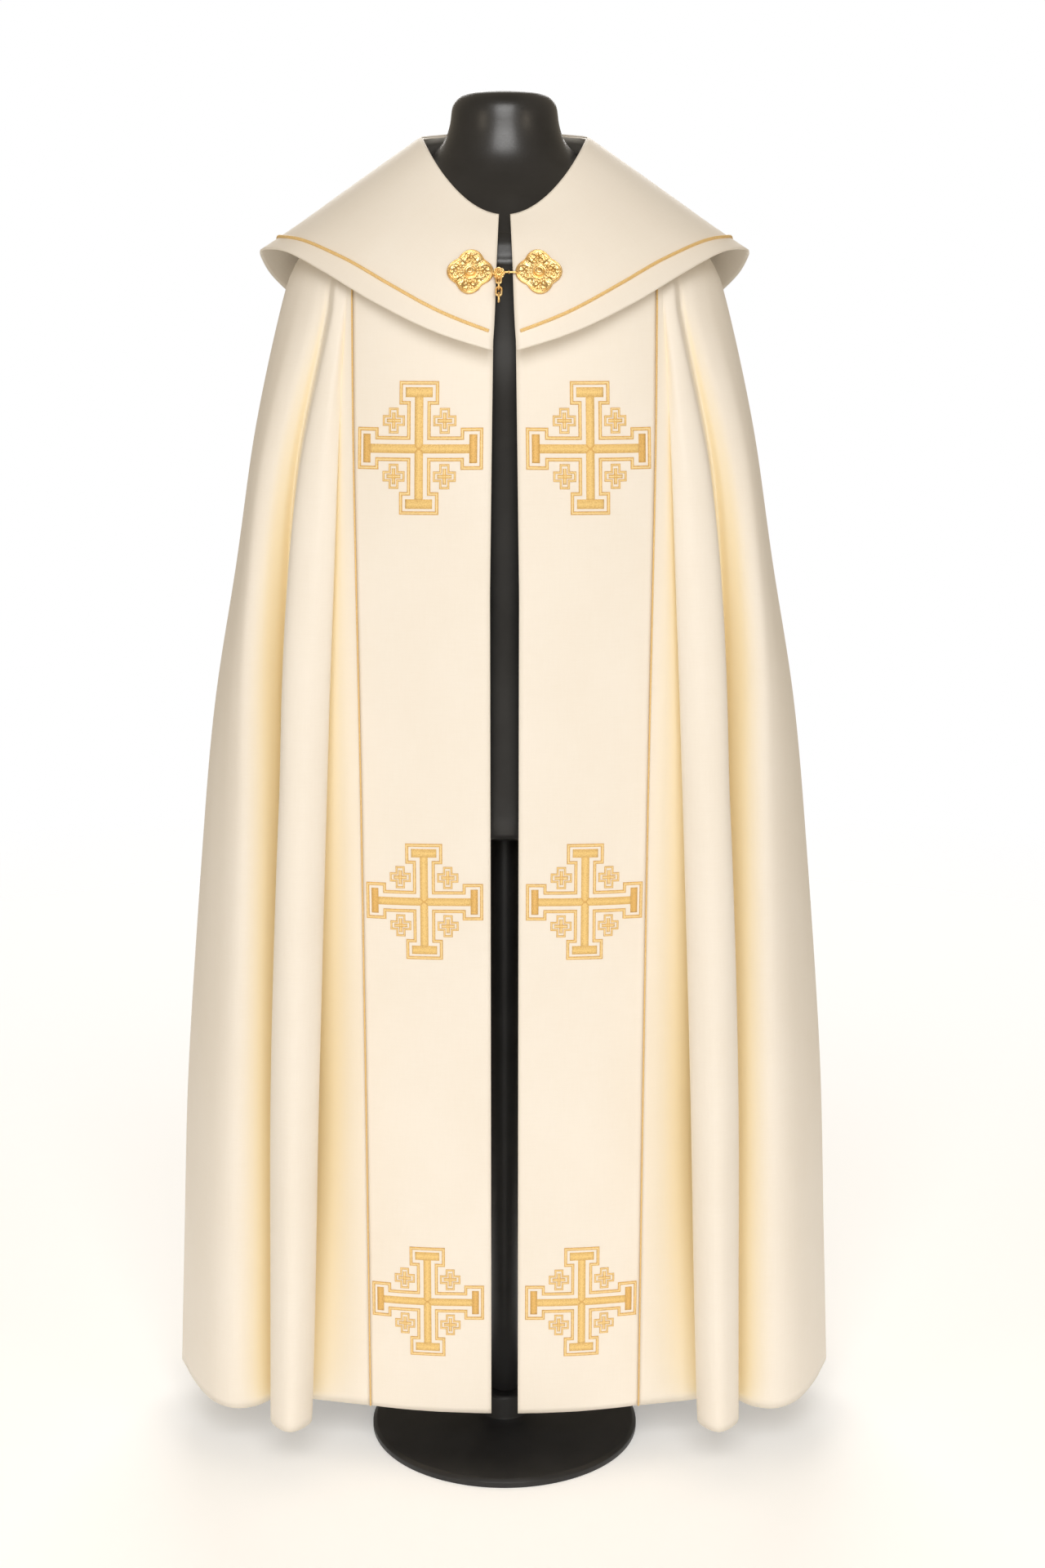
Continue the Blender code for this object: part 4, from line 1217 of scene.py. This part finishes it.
def make_seam_braid(name, band, side, thread):
    normals = grid_normals(band) * -side
    start = ring_at(BRAID_START_LEVEL)["z_front"]
    first = next(i for i, p in enumerate(band[:, -1]) if p[2] < start)
    path = (band[:, -1] + normals[:, -2] * (WALL / 2 + BAND_BRAID_RADIUS))[first:]
    twisted("seam_braid_" + name, path, SEAM_CORD, thread, "band_braid_" + name)


def make_cape_braid(cape, thread):
    normals = grid_normals(cape)
    path = []
    last = cape.shape[1] - 1
    for column in range(cape.shape[1]):
        up = cape[::-1, column]
        dip = max(0.0, 1 - min(column, last - column) / last / CAPE_BRAID_DIP_SHARE) ** 2
        point, at = flat_length(up, CAPE_BRAID_INSET - CAPE_BRAID_DIP * dip)
        row = len(up) - 1 - round(at)
        path.append(point + normals[row, column] * (WALL / 2 + CAPE_BRAID_RADIUS * CAPE_CORD_LIFT))
    at = lengths_along(path)
    kept = (at > CAPE_BRAID_END) & (at < at[-1] - CAPE_BRAID_END)
    twisted("cape_braid_cord", np.array(path)[kept], CAPE_CORD, thread, "cape_braid")


# Stage

WHITE = (1, 1, 1, 1)
WORLD_STRENGTH = 0.34
WORLD_WARMTH = (1.0, 0.87, 0.68, 1)
FLOOR_COLOUR = (0.93, 0.93, 0.93, 1)
FLOOR_GLOW = 0.28
# Distances from the middle between which the floor fades
FLOOR_FADE = (1.0, 3.2)
SENSOR_WIDTH = 36
WARM_WHITE = (1.0, 0.87, 0.70)
# name, place, target, size, power, colour
SOFTBOXES = (
    ("key", (0.0, -3.9, 3.4), (0, 0, 1.05), (2.6, 2.0), 95),
    ("front", (0.0, -4.3, 1.5), (0, 0, 0.8), (2.6, 1.6), 21, (1.0, 0.98, 0.94)),
    ("fill_left", (-3.0, -3.0, 1.6), (0, 0, 0.8), (1.0, 2.2), 16, WARM_WHITE),
    ("fill_right", (3.0, -3.0, 1.6), (0, 0, 0.8), (1.0, 2.2), 16, WARM_WHITE),
    ("back", (0.0, 3.4, 2.8), (0, 0, 1.0), (2.4, 1.6), 62),
)


def pixel_camera():
    """Camera at the photograph's height, tilt and distance, in front of the form."""
    data = bpy.data.cameras.new("camera")
    data.sensor_width = SENSOR_WIDTH
    data.sensor_fit = "AUTO"
    data.lens = SENSOR_WIDTH * FOCAL_PIXELS / PHOTO_HEIGHT
    data.shift_x = (PHOTO_WIDTH / 2 - AXIS_PIXEL) / PHOTO_HEIGHT
    data.clip_end = 100
    camera = bpy.data.objects.new("camera", data)
    camera.location = (0, CAMERA_Y, CAMERA_HEIGHT)
    camera.rotation_euler = (math.pi / 2 - CAMERA_PITCH, 0, 0)
    bpy.context.scene.collection.objects.link(camera)
    bpy.context.scene.camera = camera


def softbox(name, place, target, size, power, colour=(1, 1, 1)):
    data = bpy.data.lights.new(name, "AREA")
    data.shape = "RECTANGLE"
    data.size, data.size_y = size
    data.energy = power
    data.color = colour
    lamp = bpy.data.objects.new(name, data)
    lamp.location = place
    lamp.rotation_euler = (Vector(target) - Vector(place)).to_track_quat("-Z", "Y").to_euler()
    bpy.context.scene.collection.objects.link(lamp)


def make_floor():
    """A pale floor that fades into the white surroundings, as a studio sweep does."""
    values = {"Base Color": FLOOR_COLOUR, "Roughness": 0.9, "Specular IOR Level": 0.1}
    values |= {"Emission Color": WHITE, "Emission Strength": FLOOR_GLOW}
    made, tree, shader = new_material("floor_white", values)
    near, far = FLOOR_FADE
    length = {"operation": "LENGTH"}
    away = node(tree, "ShaderNodeVectorMath", {0: object_place(tree)}, **length).outputs["Value"]
    faded = node(tree, "ShaderNodeMapRange", {"Value": away, "From Min": near, "From Max": far})
    clear = node(tree, "ShaderNodeBsdfTransparent").outputs[0]
    mixed = node(tree, "ShaderNodeMixShader", {0: faded.outputs[0], 1: shader.outputs[0], 2: clear})
    tree.links.new(mixed.outputs[0], tree.nodes["Material Output"].inputs["Surface"])
    corners = [(x * far, y * far, 0) for x, y in ((-1, -1), (1, -1), (1, 1), (-1, 1))]
    mesh = mesh_from("floor", corners, [(0, 1, 2, 3)])
    floor = bpy.data.objects.new("floor", mesh)
    mesh.materials.append(made)
    bpy.context.scene.collection.objects.link(floor)


def make_surroundings():
    """White to look at, and dimmer as a light, so that the softboxes shape the folds."""
    world = bpy.data.worlds.new("studio")
    world.use_nodes = True
    tree = world.node_tree
    background = tree.nodes["Background"].inputs
    shown = node(tree, "ShaderNodeLightPath").outputs["Is Camera Ray"]
    dimmed = {"Value": shown, "To Min": WORLD_STRENGTH, "To Max": 1.0}
    tree.links.new(node(tree, "ShaderNodeMapRange", dimmed).outputs[0], background["Strength"])
    warm = node(tree, "ShaderNodeMix", {0: shown, 6: WORLD_WARMTH, 7: WHITE}, data_type="RGBA")
    tree.links.new(warm.outputs[2], background["Color"])
    bpy.context.scene.world = world
    bpy.context.scene.view_settings.view_transform = "Standard"


def main():
    pixel_camera()
    make_floor()
    make_surroundings()
    for row in SOFTBOXES:
        softbox(*row)
    cream = satin("cream_satin_face", *FACE_SATIN)
    inside = satin("cream_lining", *LINING_SATIN)
    braid, *threads = (stitched(name) for name in THREADS)
    form = black_finish("form_satin_black", *FORM_BLACK)
    make_form(form, black_finish("stand_powder_black", *STAND_BLACK))
    patches = make_cloth((cream, inside), braid)
    for name, side in SIDES.items():
        for i, (z, half) in enumerate(CROSSES, 1):
            embroider(f"cross_{name}_{i}", patches[side], z, cross_strokes(half), threads)
    make_clasp(cast_gold())
    bpy.context.view_layer.update()


main()
